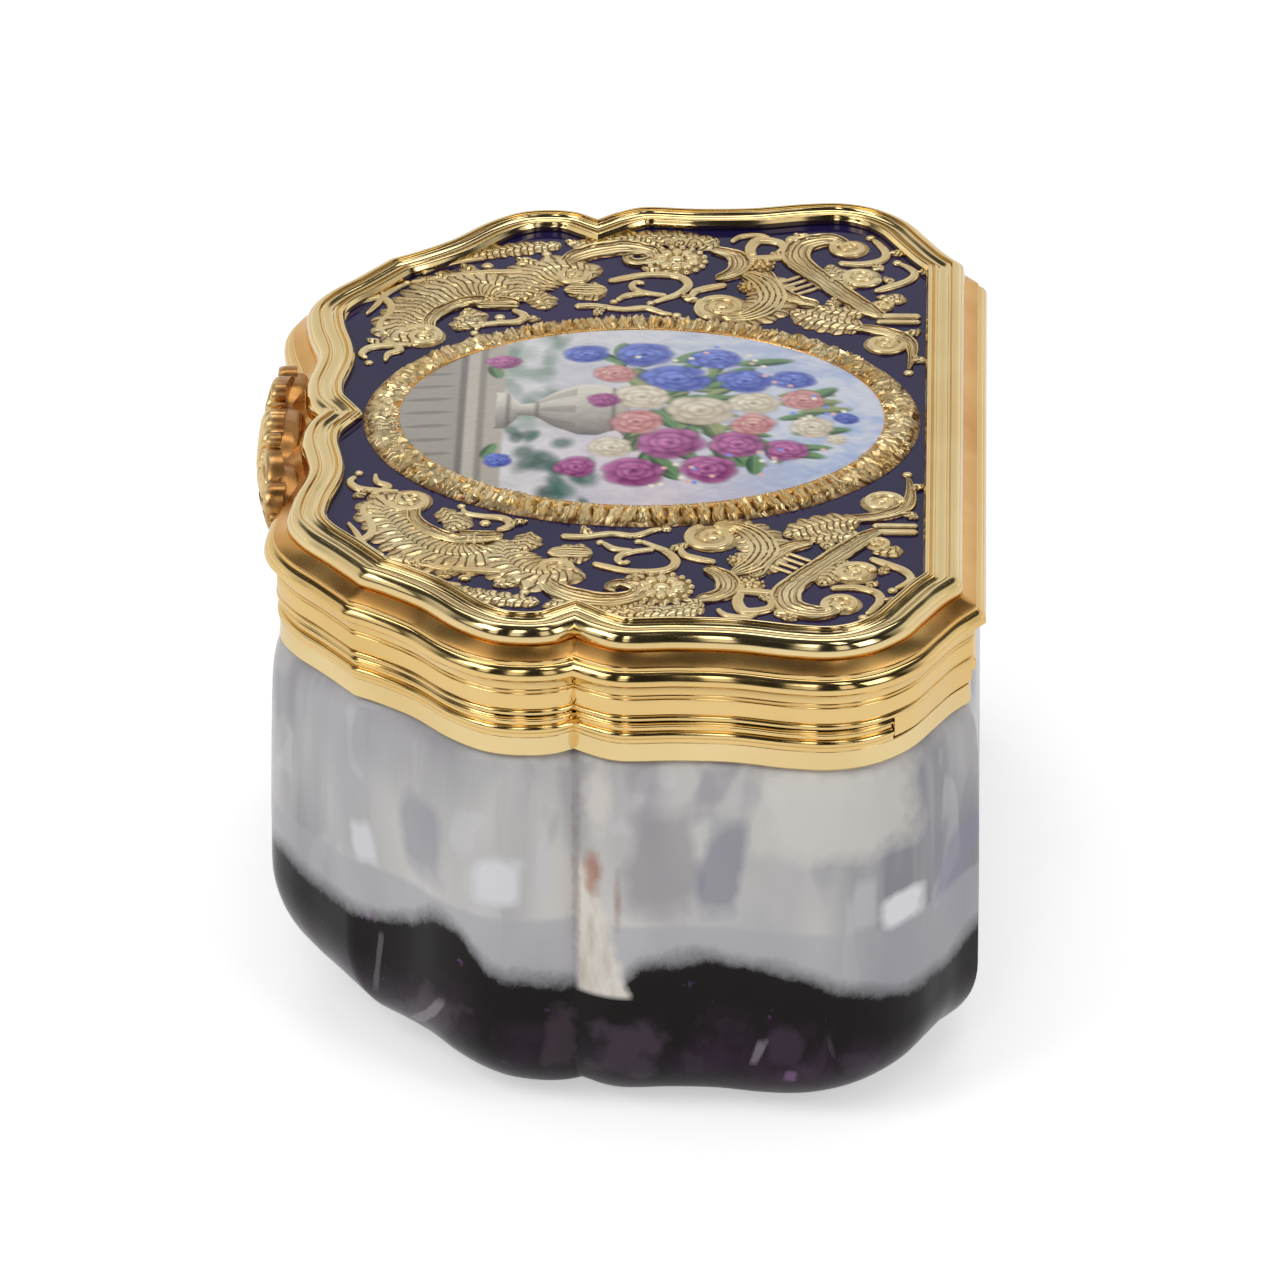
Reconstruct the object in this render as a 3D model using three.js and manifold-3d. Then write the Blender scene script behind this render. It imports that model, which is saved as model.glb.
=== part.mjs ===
// A hardstone snuff box of cartouche form in gold mounts, with a hinged enamelled lid.
// Millimetres, +Z up. The origin is on the flat underside, below the middle of the lid's oval.
// +X runs along the box, -Y is the front with the thumbpiece and +Y is the back with the hinge.

import * as THREE from 'three';
import { mergeVertices } from 'three/addons/utils/BufferGeometryUtils.js';
import Module from 'manifold-3d';

const wasm = await Module();
wasm.setup();

// Plan of the box, measured at the outer edge of the lid's upper rim
const halfLength = 41.0;
const frontDepth = 29.3;
const backDepth = 27.7;
const sampleSpacing = 3.0;

// Heights of the levels, from the underside up
const stoneHeight = 34.0;
const stoneUnderApron = 1.2;
const flangeThickness = 0.6;
const beadHeight = 1.95;
const splitGap = 0.15;
const wallBandHeight = 3.85;
const ovoloHeight = 1.5;
const cavettoHeight = 1.65;
const rimHeight = 0.75;

// Stone
const stoneBulge = 1.65;
const stoneWall = 3.0;
const stoneFloor = 3.6;
const stoneLipWidth = 1.95;
const frontFootRadius = 12.5;
const sideFootRadius = 7.5;
const backFootRadius = 9.0;
const cavityCornerDrop = 3.0;

// Gold mounts of the base
const apronThickness = 0.55;
const apronFlare = 0.15;
const apronOffset = 0.6;
const apronLip = 0.6;
const collarEdge = 0.4;
const seatGap = 0.1;
const bezelThickness = 0.6;
const bezelRise = 2.1;
const bezelChamfer = 0.25;
const slipGap = 0.35;
const beadProjection = 1.2;
const beadRound = 0.2;
const filletStep = 0.4;

// Gold mounts of the lid
const wallBandOffset = 0.9;
const wallBandThickness = 1.25;
const wallLip = 0.4;
const quarterRoundHeight = 1.0;
const quarterRoundWidth = 0.65;
const ovoloProjection = 1.95;
const cavettoFoot = 1.15;
const rimWidth = 3.35;
const rimSeat = 2.8;
const lidPlateThickness = 0.6;
const enamelDepth = 0.85;

// Oval picture and its leaf border, which fills the field from front to back but for two gaps
const plaqueHalfX = 16.3;
const borderGapFront = 0.24;
const borderGapBack = 0.45;
const plaqueEdgeHeight = 0.45;
const plaqueCrown = 0.75;
const bezelRingWidth = 0.55;
const bezelRingHeight = 0.7;
const leafBorderWidth = 2.2;
const leafBorderHeight = 1.05;
const leafNotch = 0.35;
const leafCount = 54;

// Scroll mounts
const scrollThickness = 0.5;
const scrollWidth = 2.0;

// Thumbpiece
const thumbHalfWidth = 12.6;
const thumbProjection = 2.5;
const thumbLobes = 5;
const thumbDrop = 2.6;
const thumbRise = 1.1;
const thumbEdge = 0.7;
const thumbStep = 0.2;

// Hinge
const knuckleRadius = 0.9;
const knuckleCount = 9;
const knuckleGap = 0.2;
const hingeEndGap = 1.0;
const knuckleProud = 0.3;
const footHalfWidth = 0.35;
const pinRadius = 0.45;
const pinClearance = 0.07;
const capLength = 0.5;
const runningGap = 0.1;
const skirtStart = 0.77;
const skirtClearance = 0.05;
const skirtInset = 0.1;

// Levels worked out from the heights
const apronTop = stoneHeight + stoneUnderApron;
const collarTop = apronTop + flangeThickness;
const beadTop = collarTop + beadHeight;
const lidBottom = beadTop + splitGap;
const wallBandTop = lidBottom + wallBandHeight;
const ovoloTop = wallBandTop + ovoloHeight;
const cavettoTop = ovoloTop + cavettoHeight;
const rimTop = cavettoTop + rimHeight;
const enamelTop = rimTop - enamelDepth;
const wallInner = wallBandOffset - wallBandThickness;
const bezelOuter = wallInner - slipGap;
const bezelInner = bezelOuter - bezelThickness;
const stoneLipOuter = apronOffset - apronThickness - seatGap;
const stoneLipInner = stoneLipOuter - stoneLipWidth;

// Hinge line: the barrel lies in the back wall and stands a little proud of it
const axisY = backDepth + wallBandOffset - knuckleRadius + knuckleProud;
const axisZ = collarTop + runningGap + knuckleRadius;
const wallBehindAxis = knuckleRadius - knuckleProud;
const skirtReach = axisZ - collarTop - skirtClearance;
const skirtBottom = axisZ - Math.sqrt(skirtReach ** 2 - wallBehindAxis ** 2);

function gold(roughness = 0.2) {
  return new THREE.MeshStandardMaterial({ color: 0xd9b45f, roughness, metalness: 1 });
}

function stone() {
  return new THREE.MeshStandardMaterial({ color: 0x9b95a6, roughness: 0.12, metalness: 0 });
}

function enamel() {
  return new THREE.MeshStandardMaterial({ color: 0x2b2858, roughness: 0.12, metalness: 0 });
}

function paintedEnamel() {
  return new THREE.MeshStandardMaterial({ color: 0xc9d3e6, roughness: 0.1, metalness: 0 });
}

// Plan outline, as shares of the half length and of the depth before and behind the oval
const frontLobes = [
  [0, -0.939], [0.054, -0.976], [0.134, -0.986], [0.259, -0.962], [0.378, -0.993],
  [0.471, -1], [0.546, -0.956], [0.624, -0.87], [0.712, -0.778],
];
const foreSide = [
  [0.712, -0.778], [0.746, -0.703], [0.805, -0.601], [0.888, -0.498], [0.941, -0.396],
  [0.954, -0.294], [0.944, -0.212], [0.917, -0.157],
];
const aftSide = [
  [0.917, -0.157], [0.944, -0.109], [0.973, -0.02], [0.968, 0.144], [0.973, 0.318],
  [0.995, 0.484], [1, 0.614], [0.973, 0.729], [0.912, 0.827], [0.834, 0.892],
  [0.766, 0.946], [0.715, 1],
];

function planPoint([x, y]) {
  return new THREE.Vector2(x * halfLength, y * (y < 0 ? frontDepth : backDepth));
}

// The barrel ends just inside the corners of the straight back
const backCorner = planPoint(aftSide[aftSide.length - 1]);
const barrelHalfLength = backCorner.x - hingeEndGap - capLength;
const knuckleLength = (2 * barrelHalfLength - (knuckleCount - 1) * knuckleGap) / knuckleCount;

function sampledStretch(shares) {
  const curve = new THREE.SplineCurve(shares.map(planPoint));
  const steps = Math.max(2, Math.round(curve.getLength() / sampleSpacing));
  return curve.getSpacedPoints(steps).slice(0, steps);
}

function planOutline() {
  const stretches = [frontLobes, foreSide, aftSide].map(sampledStretch);
  const right = [...stretches.flat(), backCorner];
  const left = right.slice(1).reverse().map((point) => new THREE.Vector2(-point.x, point.y));
  return [...right, ...left];
}

// Each sample of the outline carries the mitred direction in which mouldings stand out
function withMitres(points) {
  const count = points.length;
  const normals = points.map((point, i) => {
    const next = points[(i + 1) % count];
    return new THREE.Vector2(next.y - point.y, point.x - next.x).normalize();
  });
  return points.map((point, i) => {
    const before = normals[(i + count - 1) % count];
    const mitre = before.clone().add(normals[i]).divideScalar(1 + before.dot(normals[i]));
    return { point, mitre, normal: normals[i] };
  });
}

const outline = withMitres(planOutline());
const arcAt = outline.reduce((arcs, sample, i) => {
  const next = outline[(i + 1) % outline.length];
  return [...arcs, arcs[i] + sample.point.distanceTo(next.point)];
}, [0]);
const outlineLength = arcAt[outline.length];

// Distance along the outline from the front notch to the sample nearest a wanted spot
function arcOfSample(test) {
  return arcAt[outline.findIndex((sample) => test(sample.point))];
}

function sampleAtArc(arc) {
  const wrapped = (arc + outlineLength) % outlineLength;
  const i = arcAt.findIndex((start, k) => k > 0 && start > wrapped) - 1;
  const share = (wrapped - arcAt[i]) / (arcAt[i + 1] - arcAt[i]);
  const here = outline[i];
  const next = outline[(i + 1) % outline.length];
  if (share < 1e-6) return here;
  return { point: here.point.clone().lerp(next.point, share), mitre: here.normal, normal: here.normal };
}

// Samples of the outline from one arc to another, with the ends cut where they are asked for
function outlineRun(from, to) {
  const inner = [];
  for (let turn = -1; turn <= 1; turn += 1) {
    outline.forEach((sample, i) => {
      const arc = arcAt[i] + turn * outlineLength;
      if (arc > from + 0.01 && arc < to - 0.01) inner.push({ arc, sample });
    });
  }
  inner.sort((a, b) => a.arc - b.arc);
  return [sampleAtArc(from), ...inner.map((entry) => entry.sample), sampleAtArc(to)];
}

function ringAt(samples, offset, height) {
  return samples.map(({ point, mitre }) => new THREE.Vector3(
    point.x + mitre.x * offset,
    point.y + mitre.y * offset,
    height,
  ));
}

function signedVolume(positions, indices) {
  const [a, b, c] = [new THREE.Vector3(), new THREE.Vector3(), new THREE.Vector3()];
  let volume = 0;
  for (let i = 0; i < indices.length; i += 3) {
    a.fromArray(positions, 3 * indices[i]);
    b.fromArray(positions, 3 * indices[i + 1]);
    c.fromArray(positions, 3 * indices[i + 2]);
    volume += a.dot(b.cross(c));
  }
  return volume;
}

function closedGeometry(vertices, indices) {
  const positions = vertices.flatMap((vertex) => vertex.toArray());
  const outward = signedVolume(positions, indices) > 0 ? indices : [...indices].reverse();
  const geometry = new THREE.BufferGeometry();
  geometry.setAttribute('position', new THREE.Float32BufferAttribute(positions, 3));
  geometry.setIndex(outward);
  return geometry;
}

function quadsBetween(indices, lower, upper, count, wrap) {
  const last = wrap ? count : count - 1;
  for (let i = 0; i < last; i += 1) {
    const j = (i + 1) % count;
    indices.push(lower + i, lower + j, upper + j, lower + i, upper + j, upper + i);
  }
}

// A ring-shaped body: the rings follow each other round a section that closes on itself
function loopedRings(rings) {
  const count = rings[0].length;
  const indices = [];
  rings.forEach((ring, k) => {
    quadsBetween(indices, k * count, ((k + 1) % rings.length) * count, count, true);
  });
  return closedGeometry(rings.flat(), indices);
}

function capTriangles(contour, first, reversed) {
  const faces = THREE.ShapeUtils.triangulateShape(contour, []);
  return faces.flatMap(([a, b, c]) => (reversed ? [first + c, first + b, first + a]
    : [first + a, first + b, first + c]));
}

// A body of stacked closed rings, with its first and last ring filled in
function cappedRings(rings) {
  const count = rings[0].length;
  const indices = [];
  for (let k = 0; k + 1 < rings.length; k += 1) {
    quadsBetween(indices, k * count, (k + 1) * count, count, true);
  }
  const flat = (ring) => ring.map(({ x, y }) => new THREE.Vector2(x, y));
  indices.push(...capTriangles(flat(rings[0]), 0, true));
  indices.push(...capTriangles(flat(rings[rings.length - 1]), (rings.length - 1) * count, false));
  return closedGeometry(rings.flat(), indices);
}

// A moulding all the way round: its section is a list of offset and height
function moulding(section) {
  return loopedRings(section.map(([offset, height]) => ringAt(outline, offset, height)));
}

// A moulding along part of the outline, whose section may change from sample to sample
function mouldingRun(samples, sectionAt) {
  const sections = samples.map((sample, i) => sectionAt(i / (samples.length - 1), sample));
  const count = sections[0].length;
  const rings = samples.map((sample, i) => sections[i].map(
    ([offset, height]) => ringAt([sample], offset, height)[0],
  ));
  const indices = [];
  for (let k = 0; k + 1 < rings.length; k += 1) {
    quadsBetween(indices, k * count, (k + 1) * count, count, true);
  }
  const flat = (section) => section.map(([offset, height]) => new THREE.Vector2(offset, height));
  const last = rings.length - 1;
  indices.push(...capTriangles(flat(sections[0]), 0, true));
  indices.push(...capTriangles(flat(sections[last]), last * count, false));
  return closedGeometry(rings.flat(), indices);
}

function toSolid(geometry) {
  const bare = geometry.clone();
  bare.deleteAttribute('normal');
  bare.deleteAttribute('uv');
  const merged = mergeVertices(bare, 1e-5);
  return new wasm.Manifold(new wasm.Mesh({
    numProp: 3,
    vertProperties: new Float32Array(merged.attributes.position.array),
    triVerts: new Uint32Array(merged.index.array),
  }));
}

function toGeometry(solid) {
  const mesh = solid.getMesh();
  const geometry = new THREE.BufferGeometry();
  geometry.setAttribute('position', new THREE.Float32BufferAttribute(mesh.vertProperties, 3));
  geometry.setIndex(new THREE.Uint32BufferAttribute(mesh.triVerts, 1));
  return geometry;
}

function joined(geometries) {
  return toGeometry(geometries.map(toSolid).reduce((whole, solid) => whole.add(solid)));
}

function namedMesh(name, geometry, material) {
  const mesh = new THREE.Mesh(geometry, material);
  mesh.name = name;
  return mesh;
}

// Stone: rings drawn in towards the middle give it the rounded foot
function footRadius({ y }) {
  const share = Math.min(1, (y / (y < 0 ? frontDepth : backDepth)) ** 2);
  return THREE.MathUtils.lerp(sideFootRadius, y < 0 ? frontFootRadius : backFootRadius, share);
}

function roundedFootRing(offset, radiusLess, floorHeight, turn) {
  return ringAt(outline, offset, 0).map((corner) => {
    const radius = footRadius(corner) - radiusLess;
    const inset = radius * (1 - Math.cos(turn));
    const depth = corner.y < 0 ? frontDepth : backDepth;
    return new THREE.Vector3(
      corner.x * (1 - inset / halfLength),
      corner.y * (1 - inset / depth),
      floorHeight + radius * (1 - Math.sin(turn)),
    );
  });
}

function stoneBowl() {
  const outerTurns = [90, 66, 44, 22, 0].map(THREE.MathUtils.degToRad);
  const innerTurns = [0, 45, 90].map(THREE.MathUtils.degToRad);
  const belowApron = [
    [stoneBulge * 0.97, stoneHeight * 0.62],
    [stoneBulge * 0.8, stoneHeight * 0.905],
    [stoneBulge * 0.35, stoneHeight * 0.985],
    [stoneLipOuter, stoneHeight],
    [stoneLipOuter, apronTop],
  ];
  const inside = [
    [stoneLipInner, apronTop],
    [stoneBulge - stoneWall, stoneHeight * 0.62],
  ];
  return cappedRings([
    ...outerTurns.map((turn) => roundedFootRing(stoneBulge, 0, 0, turn)),
    ...belowApron.map(([offset, height]) => ringAt(outline, offset, height)),
    ...inside.map(([offset, height]) => ringAt(outline, offset, height)),
    ...innerTurns.map((turn) => roundedFootRing(
      stoneBulge - stoneWall,
      cavityCornerDrop,
      stoneFloor,
      turn,
    )),
  ]);
}

// Collar: an apron outside the stone and a flange over its lip
function baseCollar() {
  const apronInner = apronOffset - apronThickness;
  return moulding([
    [stoneLipInner, apronTop],
    [apronInner, apronTop],
    [apronInner + apronFlare, stoneHeight],
    [apronOffset + apronFlare, stoneHeight],
    [apronOffset, stoneHeight + apronLip],
    [apronOffset, collarTop - collarEdge],
    [apronOffset + apronFlare, collarTop],
    [stoneLipInner, collarTop],
  ]);
}

function innerBezel() {
  const bezelTop = beadTop + bezelRise;
  return moulding([
    [bezelInner, collarTop],
    [bezelOuter, collarTop],
    [bezelOuter, bezelTop - bezelChamfer],
    [bezelOuter - bezelChamfer, bezelTop],
    [bezelInner, bezelTop],
  ]);
}

// Where the bead ends and the lid's wall comes down to the collar, on the right-hand side
const skirtArc = arcOfSample((point) => point.x > 0 && point.y > skirtStart * backDepth);
const backCornerArc = arcOfSample((point) => point.y > backDepth - 0.01);

function beadSection() {
  const at = (inset, share) => [beadProjection - inset, collarTop + share * beadHeight];
  return [
    [bezelOuter + seatGap, collarTop],
    at(beadRound, 0),
    at(beadRound, 0.1),
    at(0, 0.3),
    at(0, 0.55),
    at(filletStep, 0.75),
    at(filletStep, 1),
    [bezelOuter + seatGap, beadTop],
  ];
}

function baseBead() {
  const reach = skirtArc - splitGap;
  return mouldingRun(outlineRun(-reach, reach), beadSection);
}

// Lid wall: a plain band that comes down to the collar at the canted back corners
function wallSection() {
  const quarterRound = [[0, -0.05], [0.2, 0], [0.4, 0.4], [1, 0.85], [1, 1]].map(([out, rise]) => [
    wallBandOffset + out * quarterRoundWidth,
    wallBandTop - (1 - rise) * quarterRoundHeight,
  ]);
  return [
    [wallInner, lidBottom],
    [wallBandOffset - wallLip * 0.4, lidBottom],
    [wallBandOffset, lidBottom + wallLip],
    ...quarterRound,
    [wallInner, wallBandTop],
  ];
}

function skirtSection() {
  const skirtTop = lidBottom + wallLip * 0.75;
  return [
    [wallInner, skirtBottom],
    [wallBandOffset - skirtInset, skirtBottom],
    [wallBandOffset - skirtInset, skirtTop],
    [wallInner, skirtTop],
  ];
}

function lidWall() {
  const skirts = [
    outlineRun(skirtArc, backCornerArc),
    outlineRun(outlineLength - backCornerArc, outlineLength - skirtArc),
  ];
  return joined([
    moulding(wallSection()),
    ...skirts.map((run) => mouldingRun(run, skirtSection)),
  ]);
}

function ovoloMoulding() {
  const overhang = ovoloProjection - cavettoFoot;
  const face = [[0.12, 0], [0, 0.2], [0.1, 0.5], [0.5, 0.77], [0.87, 0.83], [0.87, 1]];
  return moulding([
    [wallInner, wallBandTop],
    ...face.map(([back, rise]) => [
      ovoloProjection - back * overhang,
      wallBandTop + rise * ovoloHeight,
    ]),
    [wallInner, ovoloTop],
  ]);
}

function cavettoMoulding() {
  const hollow = [0, 30, 60, 90].map(THREE.MathUtils.degToRad).map((turn) => [
    cavettoFoot * (1 - Math.sin(turn)),
    ovoloTop + cavettoHeight * (1 - Math.cos(turn)),
  ]);
  return moulding([[-rimSeat, ovoloTop], ...hollow, [-rimSeat, cavettoTop]]);
}

// Upper rim, from its outer bead over a hollow band to the lip round the enamel
function upperRim() {
  const face = [
    [0, 1], [0.09, 0.13], [0.22, 0.47], [0.33, 0.13], [0.52, 0.47], [0.75, 0.2],
    [0.97, 0], [1, 0.27],
  ].map(([across, drop]) => [-across * rimWidth, rimTop - drop * rimHeight]);
  return moulding([
    [-rimSeat, cavettoTop],
    ...face,
    [-rimWidth, enamelTop + seatGap],
    [-rimSeat, enamelTop + seatGap],
  ]);
}

function panelBody(offset, bottom, top) {
  return cappedRings([ringAt(outline, offset, bottom), ringAt(outline, offset, top)]);
}

// The oval is centred between the front notch and the back of the enamel field
const fieldFront = outline[0].point.y - outline[0].mitre.y * rimWidth;
const fieldBack = backDepth - rimWidth;
const borderHalfY = (fieldBack - fieldFront - borderGapFront - borderGapBack) / 2;
const ovalCentreY = fieldBack - borderGapBack - borderHalfY;
const borderSpread = leafBorderWidth + bezelRingWidth + 2 * seatGap;
const borderHalfX = plaqueHalfX + borderSpread;
const plaqueHalfY = borderHalfY - borderSpread;

// Oval pieces share one ring of samples
function ovalRing(halfX, halfY, height, count, shrinkAt = () => 0) {
  return Array.from({ length: count }, (_, i) => {
    const angle = (2 * Math.PI * i) / count;
    const shrink = shrinkAt(i);
    return new THREE.Vector3(
      (halfX - shrink) * Math.cos(angle),
      ovalCentreY + (halfY - shrink) * Math.sin(angle),
      height,
    );
  });
}

function picturePlaque() {
  const count = 40;
  const crown = [0, 0.25, 0.5, 0.75, 0.92].map((share) => ovalRing(
    plaqueHalfX * (1 - share),
    plaqueHalfY * (1 - share),
    enamelTop + plaqueEdgeHeight + plaqueCrown * (1 - (1 - share) ** 2),
    count,
  ));
  return cappedRings([ovalRing(plaqueHalfX, plaqueHalfY, enamelTop, count), ...crown]);
}

function plaqueBezel() {
  const count = 40;
  const ring = (out, rise) => ovalRing(
    plaqueHalfX + seatGap + out,
    plaqueHalfY + seatGap + out,
    enamelTop + rise,
    count,
  );
  return loopedRings([
    ring(0, 0),
    ring(bezelRingWidth, 0),
    ring(bezelRingWidth, bezelRingHeight * 0.6),
    ring(bezelRingWidth / 2, bezelRingHeight),
    ring(0, bezelRingHeight * 0.8),
  ]);
}

function leafBorder() {
  const count = leafCount * 2;
  const start = seatGap * 2 + bezelRingWidth;
  const ring = (out, rise, notch) => ovalRing(
    plaqueHalfX + start + out,
    plaqueHalfY + start + out,
    enamelTop + rise,
    count,
    (i) => (i % 2) * notch,
  );
  return loopedRings([
    ring(0, 0, 0),
    ring(leafBorderWidth, 0, leafNotch),
    ring(leafBorderWidth, leafBorderHeight * 0.35, leafNotch),
    ring(leafBorderWidth * 0.5, leafBorderHeight, 0),
    ring(0, leafBorderHeight * 0.75, 0),
  ]);
}

// Distance from the oval's centre to the inside of the rim, along a ray
function rimDistance(ray) {
  const rim = ringAt(outline, -rimWidth, 0).map(({ x, y }) => new THREE.Vector2(x, y - ovalCentreY));
  return Math.max(...rim.map((corner, i) => {
    const side = rim[(i + 1) % rim.length].clone().sub(corner);
    const crossing = corner.cross(ray) / ray.cross(side);
    return crossing >= 0 && crossing <= 1 ? corner.cross(side) / ray.cross(side) : 0;
  }));
}

// A place on the enamel field: its bearing round the oval, in degrees from +X to the back,
// and its share of the way from the leaf border to the rim
function fieldPoint([bearing, share]) {
  const angle = THREE.MathUtils.degToRad(bearing);
  const ray = new THREE.Vector2(Math.cos(angle), Math.sin(angle));
  const borderDistance = 1 / Math.hypot(ray.x / borderHalfX, ray.y / borderHalfY);
  const reach = THREE.MathUtils.lerp(borderDistance, rimDistance(ray), share);
  return new THREE.Vector2(ray.x * reach, ovalCentreY + ray.y * reach);
}

// Scroll mounts: tapering ribbons whose ends may roll up into a volute. Their widths and radii
// are multiples of the scroll width
function ribbonShape(route, startWidth, middleWidth, endWidth) {
  const curve = new THREE.SplineCurve(route.map(fieldPoint));
  const steps = route.length + 2;
  const left = [];
  const right = [];
  for (let i = 0; i <= steps; i += 1) {
    const share = i / steps;
    const bulge = Math.sin(Math.PI * share);
    const taper = THREE.MathUtils.lerp(startWidth, endWidth, share) * (1 - bulge) + middleWidth * bulge;
    const width = taper * scrollWidth;
    const spot = curve.getPoint(share);
    const along = curve.getTangent(share);
    left.push(new THREE.Vector2(spot.x - (along.y * width) / 2, spot.y + (along.x * width) / 2));
    right.unshift(new THREE.Vector2(spot.x + (along.y * width) / 2, spot.y - (along.x * width) / 2));
  }
  return new THREE.Shape([...left, ...right]);
}

function discShape(place, radius) {
  const { x, y } = fieldPoint(place);
  const shape = new THREE.Shape();
  shape.absarc(x, y, radius * scrollWidth, 0, 2 * Math.PI);
  return shape;
}

function reliefBody(shape, side) {
  const geometry = new THREE.ExtrudeGeometry(shape, {
    depth: scrollThickness,
    bevelEnabled: false,
    curveSegments: 5,
  });
  geometry.translate(0, 0, enamelTop);
  if (side < 0) {
    geometry.scale(-1, 1, 1);
    const { index, attributes } = mergeVertices(geometry);
    const flipped = new THREE.BufferGeometry();
    flipped.setAttribute('position', attributes.position);
    flipped.setIndex([...index.array].reverse());
    return flipped;
  }
  return geometry;
}

const scrollRibbons = [
  { route: [[-52, 0.26], [-48, 0.55], [-39, 0.65], [-31, 0.67], [-26, 0.52]], widths: [1.3, 1.7, 1.2] },
  { route: [[-34, 0.86], [-25, 0.76], [-19, 0.64], [-14, 0.74]], widths: [0.3, 0.5, 0.4] },
  { route: [[-27, 0.54], [-21, 0.5], [-15, 0.35], [-9, 0.49]], widths: [1.1, 2.1, 1.3] },
  { route: [[-20, 0.51], [-15, 0.63], [-10, 0.8], [-3, 0.72]], widths: [0.7, 1.3, 0.9] },
  { route: [[-4, 0.74], [3, 0.72], [9, 0.67], [13, 0.47]], widths: [1.2, 2.2, 1.1] },
  { route: [[11, 0.55], [19, 0.47], [25, 0.28], [21, 0.13], [15, 0.13]], widths: [1.2, 1.4, 1.3] },
  {
    route: [[28, 0.8], [24, 0.75], [25, 0.59], [31, 0.49], [39, 0.48], [48, 0.58]],
    widths: [0.9, 1.3, 0.9],
  },
  { route: [[17, 0.48], [21, 0.52], [26, 0.58]], widths: [1, 1.3, 1] },
  { route: [[31, 0.52], [34, 0.74], [39, 0.75], [39, 0.59]], widths: [0.8, 1, 0.7] },
  { route: [[39, 0.45], [46, 0.55], [55, 0.59], [63, 0.53]], widths: [0.9, 1.2, 0.5] },
  { route: [[44, 0.41], [47, 0.61], [50, 0.81]], widths: [1, 0.9, 0.9] },
  { route: [[24, 0.35], [31, 0.34], [40, 0.36], [45, 0.41]], widths: [0.7, 0.8, 0.6] },
];

const scrollDiscs = [
  { place: [-52, 0.26], radius: 0.85 },
  { place: [-2, 0.71], radius: 1 },
  { place: [5, 0.64], radius: 1.3 },
  { place: [15, 0.14], radius: 0.9 },
  { place: [18, 0.57], radius: 0.75 },
  { place: [28, 0.8], radius: 0.75 },
  { place: [35, 0.67], radius: 0.85 },
];

function scrollMount(side) {
  const ribbons = scrollRibbons.map(({ route, widths }) => ribbonShape(route, ...widths));
  const discs = scrollDiscs.map(({ place, radius }) => discShape(place, radius));
  return joined([...ribbons, ...discs].map((shape) => reliefBody(shape, side)));
}

// Thumbpiece: a scalloped shell that laps over the ovolo at the front notch
function thumbSection(share) {
  const swell = Math.sin(Math.PI * share) ** 0.5;
  const lobe = Math.abs(Math.sin(Math.PI * thumbLobes * share));
  const back = ovoloProjection + seatGap;
  const foot = wallBandOffset + quarterRoundWidth + seatGap;
  const reach = back + thumbEdge + (thumbProjection - thumbEdge) * swell * (0.7 + 0.3 * lobe);
  const drop = thumbEdge + (thumbDrop - thumbEdge) * swell * (0.8 + 0.2 * lobe);
  const crest = ovoloTop + thumbRise * swell + thumbStep * lobe;
  return [
    [back, wallBandTop],
    [foot, wallBandTop - seatGap],
    [foot, wallBandTop - drop],
    [reach - thumbEdge / 2, wallBandTop - drop],
    [reach, wallBandTop - drop / 2],
    [reach - thumbEdge * 0.15, wallBandTop + ovoloHeight * 0.4],
    [back + thumbEdge, crest],
    [back, crest - thumbStep],
  ];
}

function thumbpiece() {
  return mouldingRun(outlineRun(-thumbHalfWidth, thumbHalfWidth), thumbSection);
}

// Hinge: tubes with a foot each, set in turn on the collar and on the lid's wall
function knuckleShape(footLength) {
  const meet = Math.asin(footHalfWidth / knuckleRadius);
  const shape = new THREE.Shape();
  shape.moveTo(footHalfWidth, -footLength);
  shape.absarc(0, 0, knuckleRadius, meet - Math.PI / 2, Math.PI * 1.5 - meet);
  shape.lineTo(-footHalfWidth, -footLength);
  shape.closePath();
  const bore = new THREE.Path();
  bore.absarc(0, 0, pinRadius + pinClearance, 0, 2 * Math.PI, true);
  shape.holes.push(bore);
  return shape;
}

function knuckle(index) {
  const onBase = index % 2 === 0;
  const footLength = onBase ? axisZ - collarTop : lidBottom - axisZ;
  const geometry = new THREE.ExtrudeGeometry(knuckleShape(footLength), {
    depth: knuckleLength,
    bevelEnabled: false,
    curveSegments: 7,
  });
  geometry.rotateX(Math.PI / 2);
  geometry.rotateZ(Math.PI / 2);
  if (!onBase) {
    geometry.translate(-knuckleLength, 0, 0);
    geometry.rotateY(Math.PI);
  }
  const start = -barrelHalfLength + index * (knuckleLength + knuckleGap);
  geometry.translate(start, axisY, axisZ);
  return geometry;
}

function hingePin() {
  const geometry = new THREE.CylinderGeometry(pinRadius, pinRadius, 2 * barrelHalfLength, 14);
  geometry.rotateZ(Math.PI / 2);
  geometry.translate(0, axisY, axisZ);
  return geometry;
}

function hingeCap(side) {
  const radius = knuckleRadius * 0.94;
  const profile = [
    [0, 0], [radius, 0], [radius, capLength * 0.6], [radius * 0.6, capLength * 0.95], [0, capLength],
  ].map(([x, y]) => new THREE.Vector2(x, y));
  const geometry = new THREE.LatheGeometry(profile, 14);
  geometry.rotateZ((-side * Math.PI) / 2);
  geometry.translate(side * barrelHalfLength, axisY, axisZ);
  return geometry;
}

function baseParts() {
  return [
    namedMesh('stone_bowl', stoneBowl(), stone()),
    namedMesh('base_collar', baseCollar(), gold()),
    namedMesh('inner_bezel', innerBezel(), gold()),
    namedMesh('base_bead', baseBead(), gold()),
  ];
}

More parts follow.
